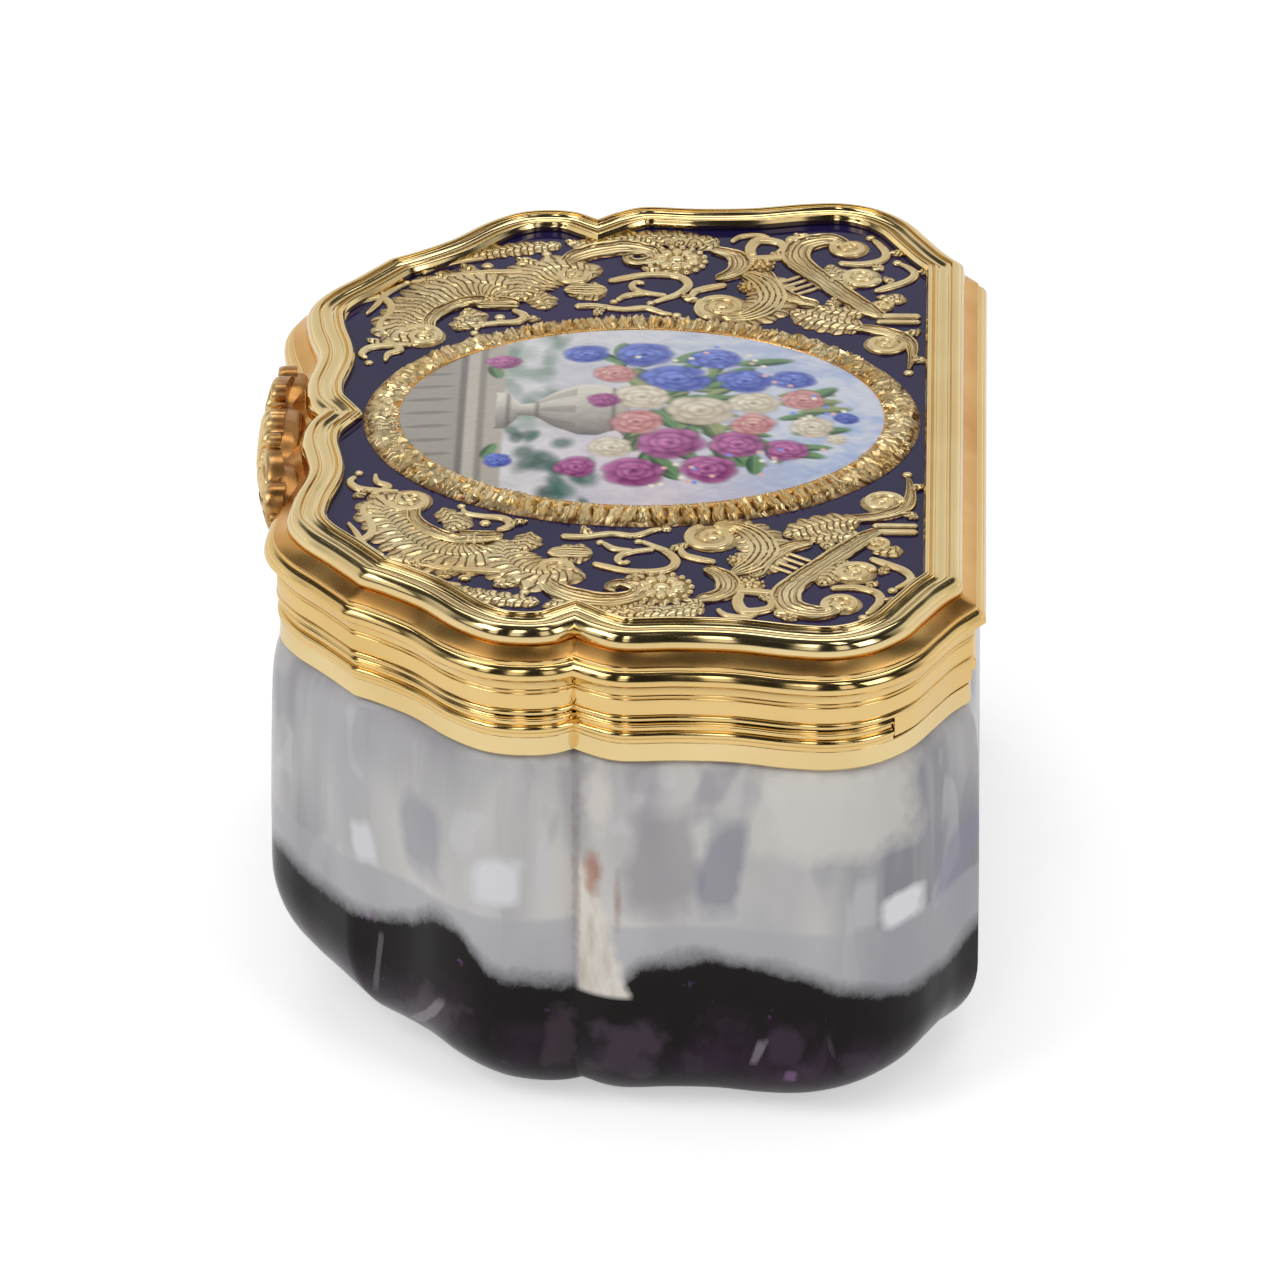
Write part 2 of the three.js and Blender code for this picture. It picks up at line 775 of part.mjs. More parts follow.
function lidParts() {
  const plateBottom = ovoloTop - lidPlateThickness;
  return [
    namedMesh('lid_wall', lidWall(), gold()),
    namedMesh('ovolo_moulding', ovoloMoulding(), gold()),
    namedMesh('cavetto_moulding', cavettoMoulding(), gold()),
    namedMesh('upper_rim', upperRim(), gold()),
    namedMesh('lid_inner_plate', panelBody(wallInner - seatGap, plateBottom, ovoloTop), gold()),
    namedMesh('enamel_panel', panelBody(-rimSeat - seatGap, ovoloTop, enamelTop), enamel()),
    namedMesh('scroll_mount_right', scrollMount(1), gold(0.4)),
    namedMesh('scroll_mount_left', scrollMount(-1), gold(0.4)),
    namedMesh('leaf_border', leafBorder(), gold(0.35)),
    namedMesh('plaque_bezel', plaqueBezel(), gold()),
    namedMesh('picture_plaque', picturePlaque(), paintedEnamel()),
    namedMesh('thumbpiece', thumbpiece(), gold(0.35)),
  ];
}

function hingeParts() {
  const knuckles = Array.from({ length: knuckleCount }, (_, index) => {
    const owner = index % 2 === 0 ? 'base' : 'lid';
    return namedMesh(`${owner}_knuckle_${Math.floor(index / 2) + 1}`, knuckle(index), gold());
  });
  return [
    ...knuckles,
    namedMesh('hinge_pin', hingePin(), gold()),
    namedMesh('hinge_cap_right', hingeCap(1), gold()),
    namedMesh('hinge_cap_left', hingeCap(-1), gold()),
  ];
}

const snuffBox = new THREE.Group();
snuffBox.name = 'snuff_box';
snuffBox.add(...baseParts(), ...lidParts(), ...hingeParts());

export default snuffBox;
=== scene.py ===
"""Looks of a gold-mounted hardstone snuff box, built round its fixed frame.

Sizes are written in millimetres and become metres when a mesh is made. +X runs along the box,
-Y is the front with the thumbpiece, +Y is the back with the hinge, and +Z is up.
"""

import math
import random

import bmesh
import bpy
import numpy as np
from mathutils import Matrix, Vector


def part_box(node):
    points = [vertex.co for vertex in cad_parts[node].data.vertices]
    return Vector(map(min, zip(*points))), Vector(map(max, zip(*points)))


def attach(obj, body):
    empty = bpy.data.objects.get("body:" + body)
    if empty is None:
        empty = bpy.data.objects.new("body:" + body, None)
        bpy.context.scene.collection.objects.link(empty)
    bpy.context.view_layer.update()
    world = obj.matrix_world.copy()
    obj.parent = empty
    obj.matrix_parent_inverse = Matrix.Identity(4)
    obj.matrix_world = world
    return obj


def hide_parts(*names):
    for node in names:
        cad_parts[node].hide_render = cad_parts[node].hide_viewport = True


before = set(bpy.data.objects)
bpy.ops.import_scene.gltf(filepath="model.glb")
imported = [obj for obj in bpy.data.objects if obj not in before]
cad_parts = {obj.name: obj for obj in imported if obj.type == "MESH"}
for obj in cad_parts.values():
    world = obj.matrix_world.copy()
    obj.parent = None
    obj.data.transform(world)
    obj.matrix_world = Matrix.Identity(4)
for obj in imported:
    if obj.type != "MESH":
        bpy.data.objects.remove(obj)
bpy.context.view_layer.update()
scene = bpy.context.scene
MM = 0.001
rng = random.Random(7)


def low(node):
    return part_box(node)[0] / MM


def high(node):
    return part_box(node)[1] / MM


# Levels, from the frame
STONE_TOP = high("stone_bowl").z
APRON_BOTTOM = low("base_collar").z
COLLAR_TOP = high("base_collar").z
BEAD_TOP = high("base_bead").z
BEZEL_TOP = high("inner_bezel").z
SKIRT_BOTTOM = low("lid_wall").z
WALL_TOP = high("lid_wall").z
OVOLO_TOP = high("ovolo_moulding").z
CAVETTO_TOP = high("cavetto_moulding").z
RIM_TOP = high("upper_rim").z
ENAMEL_TOP = high("enamel_panel").z
LID_BOTTOM = BEAD_TOP + 0.15

# Plan outline: its size at the upper rim, and its points as shares of that size
HALF_LENGTH = 41.0
FRONT_DEPTH = 29.3
BACK_DEPTH = 27.7
FRONT_LOBES = [
    (0, -0.939), (0.054, -0.976), (0.134, -0.986), (0.259, -0.962), (0.378, -0.993),
    (0.471, -1), (0.546, -0.956), (0.624, -0.87), (0.712, -0.778),
]
FORE_SIDE = [
    (0.712, -0.778), (0.746, -0.703), (0.805, -0.601), (0.888, -0.498), (0.941, -0.396),
    (0.954, -0.294), (0.944, -0.212), (0.917, -0.157),
]
AFT_SIDE = [
    (0.917, -0.157), (0.944, -0.109), (0.973, -0.02), (0.968, 0.144), (0.973, 0.318),
    (0.995, 0.484), (1, 0.614), (0.973, 0.729), (0.912, 0.827), (0.834, 0.892),
    (0.766, 0.946), (0.715, 1),
]
OUTLINE_STEP = 0.55

# Offsets of the pieces from the plan outline
STONE_BULGE = 1.65
BELLY_START = 13.5
STONE_WALL = 3.0
STONE_FLOOR = 3.6
STONE_LIP_OUTER = -0.05
STONE_LIP_INNER = -2.0
FRONT_FOOT = 12.5
SIDE_FOOT = 7.5
BACK_FOOT = 9.0
CAVITY_CORNER_DROP = 3.0
APRON_INNER = 0.05
WALL_OUTER = 0.9
WALL_INNER = -0.35
BEZEL_OUTER = -0.7
BEZEL_INNER = -1.3
OVOLO_OUTER = 1.95
CAVETTO_FOOT = 1.15
RIM_WIDTH = 3.35
RIM_SEAT = 2.8
RIM_DROP = 0.9
# Where the lid's skirt starts, as a share of the back depth, and the bead's gap to it, in samples
SKIRT_START = 0.77
BEAD_GAP = 0.2

# Oval picture and its border
PLAQUE_HALF_X = high("picture_plaque").x
PLAQUE_HALF_Y = (high("picture_plaque").y - low("picture_plaque").y) / 2
OVAL_Y = (high("picture_plaque").y + low("picture_plaque").y) / 2
PLAQUE_EDGE = 0.45
PLAQUE_CROWN = high("picture_plaque").z - ENAMEL_TOP - PLAQUE_EDGE


# Meshes


class Mesh:
    """Points and faces that grow piece by piece before they become one object."""

    def __init__(self):
        self.points = []
        self.faces = []
        self.marks = []

    def add(self, points, faces, marks=None):
        """Adds points and faces; marks say where engraved lines run, as three numbers a point."""
        base = len(self.points)
        self.points.extend(map(tuple, points))
        self.faces.extend(tuple(base + i for i in face) for face in faces)
        self.marks.extend(marks if marks is not None else [(0.0, 0.0, 0.0)] * len(points))

    def grid(self, rows, wrap_rows=False, wrap_columns=False, cap=False, marks=None):
        """A net of rows of points, open or closed each way, with its ends filled if asked."""
        rows = np.asarray(rows)
        count, width = rows.shape[:2]
        faces = []
        for r in range(count if wrap_rows else count - 1):
            below, above = r * width, ((r + 1) % count) * width
            for c in range(width if wrap_columns else width - 1):
                d = (c + 1) % width
                faces.append((below + c, below + d, above + d, above + c))
        if cap:
            faces.append(tuple(range(width - 1, -1, -1)))
            faces.append(tuple(range((count - 1) * width, count * width)))
        self.add(rows.reshape(-1, 3), faces, marks)

    def mirrored(self):
        """The same points on the other side of the plane between right and left."""
        other = Mesh()
        other.points = [(-x, y, z) for x, y, z in self.points]
        other.faces = [tuple(reversed(face)) for face in self.faces]
        other.marks = self.marks
        return other


def net(rows, **options):
    """One net of points as a shape of its own."""
    made = Mesh()
    made.grid(rows, **options)
    return made


def piece(name, shape, body, material, replaces=(), sharp=32):
    """Makes an object of a shape, with its finish, its body and the frame's piece it stands for."""
    mesh = bpy.data.meshes.new(name)
    mesh.from_pydata([(x * MM, y * MM, z * MM) for x, y, z in shape.points], [], shape.faces)
    tidy = bmesh.new()
    tidy.from_mesh(mesh)
    bmesh.ops.recalc_face_normals(tidy, faces=tidy.faces)
    tidy.to_mesh(mesh)
    tidy.free()
    mesh.polygons.foreach_set("use_smooth", [True] * len(mesh.polygons))
    mesh.set_sharp_from_angle(angle=math.radians(sharp))
    if any(mark[2] for mark in shape.marks):
        layer = mesh.attributes.new("chasing", "FLOAT_VECTOR", "POINT")
        layer.data.foreach_set("vector", np.asarray(shape.marks, float).ravel())
    mesh.materials.append(material)
    made = bpy.data.objects.new(name, mesh)
    scene.collection.objects.link(made)
    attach(made, body)
    if replaces:
        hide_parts(*replaces)
    return made


# Curves


# Points that a spline gives between two of its own
SPLINE_STEPS = 24


def spline(points):
    """A smooth curve through points, as many points."""
    points = np.asarray(points, float)
    last = len(points) - 1
    found = []
    t = np.linspace(0, 1, SPLINE_STEPS, endpoint=False)[:, None]
    for i in range(last):
        p0, p1 = points[max(i - 1, 0)], points[i]
        p2, p3 = points[i + 1], points[min(i + 2, last)]
        v0, v1 = (p2 - p0) / 2, (p3 - p1) / 2
        found.append(
            (2 * p1 - 2 * p2 + v0 + v1) * t**3 + (-3 * p1 + 3 * p2 - 2 * v0 - v1) * t**2 + v0 * t + p1
        )
    return np.vstack([*found, points[last:]])


def lengths(points):
    return np.concatenate([[0], np.cumsum(np.linalg.norm(np.diff(points, axis=0), axis=1))])


def resampled(points, count):
    """The same curve with evenly spaced points, both ends kept."""
    along = lengths(points)
    wanted = np.linspace(0, along[-1], count)
    return np.stack([np.interp(wanted, along, points[:, k]) for k in range(points.shape[1])], axis=1)


def plan_point(share):
    return share[0] * HALF_LENGTH, share[1] * (FRONT_DEPTH if share[1] < 0 else BACK_DEPTH)


class Outline:
    """The box's plan outline, from which every moulding is offset with clean mitres."""

    def __init__(self):
        right = [spline([plan_point(share) for share in run]) for run in (FRONT_LOBES, FORE_SIDE, AFT_SIDE)]
        corner = right[-1][-1]
        back = np.array([corner, (-corner[0], corner[1])])
        left = [run[::-1] * (-1, 1) for run in reversed(right)]
        self.runs = [resampled(run, max(2, int(lengths(run)[-1] / 0.1))) for run in [*right, back, *left]]
        self.counts = [max(2, round(lengths(run)[-1] / OUTLINE_STEP)) for run in self.runs]
        self.tangents = [np.gradient(run, axis=0) for run in self.runs]
        self.tangents = [t / np.linalg.norm(t, axis=1)[:, None] for t in self.tangents]
        self.normals = [np.stack([t[:, 1], -t[:, 0]], axis=1) for t in self.tangents]
        self.rings = {}

    def corner(self, k):
        """The joint between run k - 1 and run k: its point, its mitre and the way across it."""
        before, after = self.normals[k - 1][-1], self.normals[k][0]
        mitre = (before + after) / (1 + before @ after)
        ahead = self.tangents[k - 1][-1] + self.tangents[k][0]
        return self.runs[k][0], mitre, ahead / np.linalg.norm(ahead)

    def ring(self, offset):
        """The outline moved out by an offset, as a closed ring of points in the plane."""
        key = round(offset, 4)
        if key in self.rings:
            return self.rings[key]
        total = len(self.runs)
        kept = [run + offset * normal for run, normal in zip(self.runs, self.normals)]
        moved = list(kept)
        joints = []
        for k in range(total):
            spot, mitre, ahead = self.corner(k)
            reach = []
            after = (moved[k] - spot) @ ahead
            if after[0] < 0:
                first = np.argmax(after > 0)
                reach.append((moved[k][first] - spot) @ mitre / (mitre @ mitre))
                kept[k] = kept[k][len(kept[k]) - len(after) + first:]
            before = (moved[k - 1] - spot) @ ahead
            if before[-1] > 0:
                past = np.argmax(before[::-1] < 0)
                reach.append((moved[k - 1][len(before) - 1 - past] - spot) @ mitre / (mitre @ mitre))
                kept[k - 1] = kept[k - 1][:len(kept[k - 1]) - past]
            joints.append(spot + mitre * (sum(reach) / len(reach) if reach else offset))
        ring = []
        for k in range(total):
            run = np.vstack([joints[k], kept[k][1:-1], joints[(k + 1) % total]])
            ring.append(resampled(run, self.counts[k] + 1)[:-1])
        self.rings[key] = np.vstack(ring)
        return self.rings[key]

    def level(self, offset, height):
        ring = self.ring(offset)
        return np.column_stack([ring, np.full(len(ring), height)])


outline = Outline()


def arc(centre, radius, start, end, steps=6):
    """Points of a round stretch of a section: centre and radius in millimetres, angles in degrees."""
    angles = np.radians(np.linspace(start, end, steps))
    return [(centre[0] + radius * math.cos(a), centre[1] + radius * math.sin(a)) for a in angles]


def moulding(section):
    """A moulding all the way round, from a closed section of offset and height."""
    return net([outline.level(*spot) for spot in section], wrap_rows=True, wrap_columns=True)


def moulding_run(section, first, last):
    """The same along part of the outline only, between two samples, with filled ends."""
    count = len(outline.ring(0))
    places = np.unique([first, *range(math.ceil(first), math.floor(last) + 1), last])
    before = np.floor(places).astype(int)
    share = (places - before)[:, None]
    levels = [outline.level(*spot) for spot in section]
    rows = [level[before % count] * (1 - share) + level[(before + 1) % count] * share for level in levels]
    return net(np.stack(rows, axis=1), wrap_columns=True, cap=True)


# Materials


class Wire:
    """A value in a node tree, to be reckoned with like a number."""

    def __init__(self, nodes, socket):
        self.nodes = nodes
        self.socket = socket

    def __add__(self, other):
        return self.nodes.math("ADD", self, other)

    def __sub__(self, other):
        return self.nodes.math("SUBTRACT", self, other)

    def __rsub__(self, other):
        return self.nodes.math("SUBTRACT", other, self)

    def __mul__(self, other):
        return self.nodes.math("MULTIPLY", self, other)

    def __gt__(self, other):
        return self.nodes.math("GREATER_THAN", self, other)


class Nodes:
    """A small helper to write the node tree of a material or world with."""

    def __init__(self, owner, coordinates="Object"):
        owner.use_nodes = True
        self.tree = owner.node_tree
        self.coordinates = self.new("ShaderNodeTexCoord").outputs[coordinates]

    def new(self, kind, **settings):
        node = self.tree.nodes.new(kind)
        for name, value in settings.items():
            setattr(node, name, value)
        return node

    def feed(self, target, value):
        value = getattr(value, "socket", value)
        if isinstance(value, bpy.types.NodeSocket):
            self.tree.links.new(value, target)
        elif isinstance(value, tuple) and target.type == "RGBA":
            target.default_value = (*value[:3], 1)
        else:
            target.default_value = value

    def made(self, kind, output, settings=None, **inputs):
        """Adds a node, feeds its inputs and gives one of its outputs."""
        node = self.new(kind, **(settings or {}))
        for name, value in inputs.items():
            self.feed(node.inputs[name.replace("_", " ")], value)
        return Wire(self, node.outputs[output])

    def noise(self, scale, detail=3.0, roughness=0.5, stretch=None, distortion=0.0):
        """Noise whose scale is in cells per metre, drawn out along an axis by stretch."""
        source = self.mapped(stretch) if stretch else self.coordinates
        return self.made("ShaderNodeTexNoise", "Fac", Vector=source, Scale=scale, Detail=detail,
                         Roughness=roughness, Distortion=distortion)

    def mapped(self, scale, location=(0, 0, 0)):
        return self.made("ShaderNodeMapping", "Vector", Vector=self.coordinates, Scale=scale, Location=location)

    def place(self, source=None):
        """The place along X, Y and Z, or the three parts of another vector."""
        parts = self.new("ShaderNodeSeparateXYZ")
        self.feed(parts.inputs[0], source or self.coordinates)
        return [Wire(self, part) for part in parts.outputs]

    def bearing(self):
        """The bearing round the box, as a share of the full turn."""
        return self.made("ShaderNodeTexGradient", "Fac", {"gradient_type": "RADIAL"}, Vector=self.coordinates)

    def rays(self, kind):
        return Wire(self, self.new("ShaderNodeLightPath").outputs[f"Is {kind} Ray"])

    def ramp(self, source, *stops):
        """A colour ramp from stops of place and colour or grey."""
        node = self.new("ShaderNodeValToRGB")
        elements = node.color_ramp.elements
        while len(elements) < len(stops):
            elements.new(0.5)
        for element, (place, colour) in zip(elements, stops):
            element.position = place
            element.color = (*colour, 1) if isinstance(colour, tuple) else (colour, colour, colour, 1)
        self.feed(node.inputs["Fac"], source)
        return Wire(self, node.outputs["Color"])

    def math(self, operation, a, b=0.0, clamp=False):
        node = self.new("ShaderNodeMath", operation=operation, use_clamp=clamp)
        self.feed(node.inputs[0], a)
        self.feed(node.inputs[1], b)
        return Wire(self, node.outputs[0])

    def larger(self, a, b):
        return self.math("MAXIMUM", a, b)

    def mix(self, factor, a, b, blend="MIX"):
        node = self.new("ShaderNodeMix", data_type="RGBA", blend_type=blend)
        self.feed(node.inputs[0], factor)
        first, second = (socket for socket in node.inputs if socket.type == "RGBA")
        self.feed(first, a)
        self.feed(second, b)
        return Wire(self, next(socket for socket in node.outputs if socket.type == "RGBA"))

    def curve(self, source, points):
        """A smooth curve through points whose two numbers both run from 0 to 1."""
        node = self.new("ShaderNodeFloatCurve")
        line = node.mapping.curves[0]
        while len(line.points) < len(points):
            line.points.new(0.5, 0.5)
        for point, place in zip(line.points, points):
            point.location = place
        node.mapping.update()
        self.feed(node.inputs["Value"], source)
        return Wire(self, node.outputs["Value"])

    def spot(self, centre, size, ragged, soft, scale):
        """A mask round a place on the object, in millimetres, with a ragged edge."""
        near = self.mapped([1 / (s * MM) for s in size], [-c / s for c, s in zip(centre, size)])
        far = self.new("ShaderNodeVectorMath", operation="LENGTH")
        self.feed(far.inputs[0], near)
        wobble = (self.noise(scale, detail=4) - 0.5) * (ragged * 2)
        return self.ramp(Wire(self, far.outputs["Value"]) + wobble, (1 - soft, 1.0), (1.0, 0.0))

    def pane(self, place, centre, half, slant, strength, ragged=0.8):
        """A soft-edged upright patch on the right-hand end, by Y and height in millimetres."""
        up = place[2] - centre[1] * MM
        beside = place[1] - centre[0] * MM - up * slant
        sides = [
            self.math("POWER", self.math("ABSOLUTE", way) * (1 / (size * MM)), PANE_SQUARENESS)
            for way, size in zip((beside, up), half)
        ]
        far = self.math("POWER", sides[0] + sides[1], 1 / PANE_SQUARENESS)
        wobble = (self.noise(300, detail=4) - 0.5) * ragged
        return self.ramp(far + wobble, (0.60, strength), (1.08, 0.0)) * (place[0] > PANE_REACH * MM)

    def bump(self, height, strength, distance, normal=None):
        inputs = {"Height": height, "Normal": normal} if normal else {"Height": height}
        return self.made("ShaderNodeBump", "Normal", Strength=strength, Distance=distance, **inputs)


class Finish(Nodes):
    """A material and its node tree."""

    def __init__(self, name):
        self.material = bpy.data.materials.new(name)
        super().__init__(self.material)
        self.shader = self.tree.nodes["Principled BSDF"]

    def set(self, **values):
        for name, value in values.items():
            self.feed(self.shader.inputs[name.replace("_", " ")], value)


def polished_gold(name, low_tone, high_tone):
    nodes = Finish(name)
    scratches = nodes.noise(2600, detail=2, stretch=(1, 0.12, 1))
    ripple = nodes.bump(nodes.noise(130, detail=2), 0.22, 0.0004)
    nodes.set(
        Metallic=1.0,
        Base_Color=nodes.ramp(nodes.noise(90, detail=2), (0.3, low_tone), (0.7, high_tone)),
        Roughness=nodes.ramp(nodes.noise(240, detail=4), (0.35, 0.09), (0.75, 0.17)),
        Normal=nodes.bump(scratches, 0.06, 0.00002, ripple),
    )
    return nodes.material


def hollow_gold():
    """Gold of the deep hollow under the rim, brown with age where no cloth reaches."""
    nodes = Finish("gold_hollow")
    nodes.set(
        Metallic=1.0,
        Base_Color=nodes.ramp(nodes.noise(110), (0.3, (0.68, 0.33, 0.08)), (0.7, (0.83, 0.50, 0.165))),
        Roughness=nodes.ramp(nodes.noise(260, detail=4), (0.35, 0.22), (0.75, 0.32)),
        Normal=nodes.bump(nodes.noise(130, detail=2), 0.2, 0.0004),
    )
    return nodes.material


def chased_gold(name, base, top, axis="Z", pale=(0.96, 0.80, 0.46), deep=(0.17, 0.075, 0.022)):
    """Matt chased gold with painted shade: browner in the hollows between two places along an axis in
    millimetres, and in its engraved lines.
    """
    nodes = Finish(name)
    tone = nodes.ramp(nodes.noise(160), (0.3, (0.80, 0.58, 0.26)), (0.7, pale))
    lift = (nodes.place()["XYZ".index(axis)] - base * MM) * (1 / ((top - base) * MM))
    # Painted shade: the lower a place lies between base and top, the nearer its colour comes to the deep brown
    depth = nodes.ramp(lift + (nodes.noise(1500) - 0.5) * 0.5, (0.0, 1.0), (0.55, 0.0))

    # Engraved lines, painted dark as shade in their grooves: ribs that run outward on leaves, and rails along the
    # other ribbons
    marks = nodes.new("ShaderNodeAttribute", attribute_name="chasing").outputs["Vector"]
    across, along, code = nodes.place(marks)
    edge = nodes.math("ABSOLUTE", across)
    leafy = code > 1.5
    turns = leafy * (along * 1.55 + edge * 1.3) + (1.0 - leafy) * (edge * 2.6)
    away = nodes.math("PINGPONG", turns + nodes.noise(700, detail=2) * 0.9, 0.5)
    chasing = nodes.ramp(away, (0.05, 0.95), (0.19, 0.0)) * nodes.math("MINIMUM", code, 1.0)

    scored = nodes.bump(1.0 - chasing, 0.8, 0.00012)
    nodes.set(
        Metallic=1.0,
        Base_Color=nodes.mix(nodes.larger(depth, chasing), tone, deep),
        Roughness=nodes.ramp(nodes.noise(500), (0.35, 0.27), (0.7, 0.42)),
        Normal=nodes.bump(nodes.noise(3200, roughness=0.6), 0.35, 0.00003, scored),
    )
    return nodes.material


def blue_enamel():
    nodes = Finish("blue_enamel")
    cloud = nodes.noise(70, detail=4)
    nodes.set(
        Base_Color=nodes.ramp(cloud, (0.3, (0.010, 0.008, 0.048)), (0.75, (0.026, 0.014, 0.076))),
        Roughness=0.07,
        Specular_IOR_Level=0.18,
        Normal=nodes.bump(nodes.noise(110, detail=2), 0.10, 0.0003),
    )
    return nodes.material


def painted_enamel():
    nodes = Finish("painted_enamel")
    paint = nodes.new("ShaderNodeAttribute", attribute_name="paint").outputs["Color"]
    shade = nodes.ramp(nodes.noise(2400, stretch=(1, 0.35, 1)), (0.3, 0.90), (0.7, 1.0))
    nodes.set(
        Base_Color=nodes.mix(1.0, paint, shade, blend="MULTIPLY"),
        Roughness=0.12,
        Specular_IOR_Level=0.35,
        Normal=nodes.bump(nodes.noise(150, detail=2), 0.08, 0.0003),
    )
    return nodes.material


# Where the dark band of the stone ends: bearing round the box in degrees, and height
DARK_BAND = [
    (-180, 14.2), (-150, 12.8), (-125, 15.0), (-100, 12.4), (-75, 13.6), (-58, 15.2), (-46, 14.4), (-36, 14.0),
    (-29, 15.2), (-23, 17.0), (-16, 13.5), (-4, 12.7), (2, 15.0), (13, 15.7), (25, 12.8), (36, 11.7), (44, 13.1),
    (62, 14.6), (85, 12.8), (110, 15.4), (135, 13.4), (158, 12.6), (180, 14.2),
]

# Patches of the right-hand end: how square they are, and from which X they are laid
PANE_SQUARENESS = 5.0
PANE_REACH = 12

# Cloudy patches and painted reflections of windows: Y and height of the middle, half sizes, slant, strength and
# tone
STONE_CLOUDS_AND_REFLECTIONS = [
    (16.9, 29.9, 8.4, 5.2, 0.0, 0.85, (0.76, 0.73, 0.675)),
    (2.8, 24.6, 3.4, 6.0, 0.0, 0.65, (0.36, 0.335, 0.36)),
    (7.8, 24.3, 2.1, 5.4, 0.12, 0.70, (0.27, 0.27, 0.335)),
    (-11.0, 22.1, 2.3, 2.5, 0.10, 0.90, (0.84, 0.84, 0.87)),
    (23.0, 19.9, 2.1, 1.8, 0.0, 0.95, (0.92, 0.92, 0.95)),
    (19.8, 21.3, 1.2, 3.0, 0.0, 0.50, (0.72, 0.72, 0.76)),
    (27.4, 20.9, 1.8, 3.3, 0.30, 0.70, (0.33, 0.32, 0.41)),
    (-17.5, 23.8, 2.0, 4.3, 0.0, 0.55, (0.33, 0.33, 0.40)),
    (-22.7, 20.9, 1.2, 2.2, -0.20, 0.90, (0.82, 0.82, 0.85)),
    (-7.1, 23.9, 0.7, 3.5, 0.0, 0.60, (0.70, 0.69, 0.70)),
    (7.4, 32.4, 1.6, 2.2, 0.5, 0.5, (0.36, 0.33, 0.38)),
    (1.0, 32.6, 1.8, 1.6, 0.0, 0.45, (0.40, 0.37, 0.40)),
]

# The same for the clouds and glints of the dark foot
FOOT_PANES = [
    (-6.0, 7.0, 1.5, 3.4, 0.0, 0.8, (0.066, 0.042, 0.062)),
    (-0.4, 6.6, 2.9, 3.2, 0.1, 0.8, (0.072, 0.048, 0.072)),
    (13.2, 7.8, 1.6, 2.2, 0.2, 0.7, (0.060, 0.034, 0.064)),
    (13.6, 4.6, 0.7, 0.8, 0.2, 0.7, (0.28, 0.15, 0.30)),
    (10.9, 6.8, 0.5, 1.5, 0.3, 0.8, (0.25, 0.22, 0.25)),
    (-17.0, 6.4, 2.4, 4.0, 0.4, 0.8, (0.085, 0.062, 0.082)),
    (-17.2, 6.4, 0.5, 3.4, 0.5, 0.9, (0.27, 0.235, 0.255)),
    (-21.4, 9.8, 0.25, 3.4, 0.1, 0.7, (0.16, 0.14, 0.155)),
    (5.6, 5.2, 1.2, 1.6, 0.0, 0.6, (0.052, 0.036, 0.058)),
    (19.5, 5.6, 1.6, 1.6, -0.3, 0.6, (0.060, 0.040, 0.066)),
]

# The cream wedge: its top and height, its left edge, and its right edge at the top and how far
# that spreads down to the foot
WEDGE_TOP = 24.6
WEDGE_HEIGHT = 13.0
WEDGE_LEFT = -4.5
WEDGE_RIGHT = -3.1
WEDGE_SPREAD = 3.7

# The X at which the inclusion meets the right-hand end, and how deep its parts reach there
NOTCH_X = 41
NOTCH_DEEP = 6


def pale_stone(nodes, place):
    """Milky quartz: broad soft patches and faint streaks, a painted reflection in a band just over the dark, and
    cloudy patches with painted window reflections.
    """
    patches = nodes.noise(75, 2.5, 0.5, (1, 1, 0.40), 0.5)
    pale = nodes.ramp(patches, (0.34, (0.32, 0.315, 0.345)), (0.45, (0.45, 0.44, 0.455)),
                      (0.55, (0.58, 0.57, 0.56)), (0.68, (0.73, 0.71, 0.675)))
    for noise, start, end, strength, tone in (
        ((300, 3, 0.55, (1, 1, 0.12)), 0.50, 0.72, 0.24, (0.73, 0.70, 0.67)),
        ((520, 3, 0.6, (1, 1, 0.08)), 0.58, 0.74, 0.22, (0.27, 0.26, 0.31)),
        ((60, 2, 0.5, (1, 1, 0.8)), 0.48, 0.66, 0.3, (0.41, 0.41, 0.49)),
        ((190, 1.5, 0.4, (1, 1, 0.55), 0.6), 0.60, 0.65, 0.30, (0.78, 0.77, 0.79)),
        ((150, 1.5, 0.4, (1, 0.9, 0.5), 0.6), 0.60, 0.65, 0.30, (0.29, 0.28, 0.34)),
    ):
        pale = nodes.mix(nodes.ramp(nodes.noise(*noise), (start, 0.0), (end, strength)), pale, tone)
    # Painted reflection: the pale stone turns grey from the dark band up to a level line
    painted_reflection_band = nodes.ramp(place[2] * (1 / (STONE_TOP * MM)), (0.526, 1.0), (0.540, 0.0))
    pale = nodes.mix(painted_reflection_band * 0.66, pale, (0.50, 0.495, 0.53))
    # Cloudy patches and painted window reflections on the right-hand end
    for y, z, half_y, half_z, slant, strength, tone in STONE_CLOUDS_AND_REFLECTIONS:
        pale = nodes.mix(nodes.pane(place, (y, z), (half_y, half_z), slant, strength), pale, tone)
    return pale


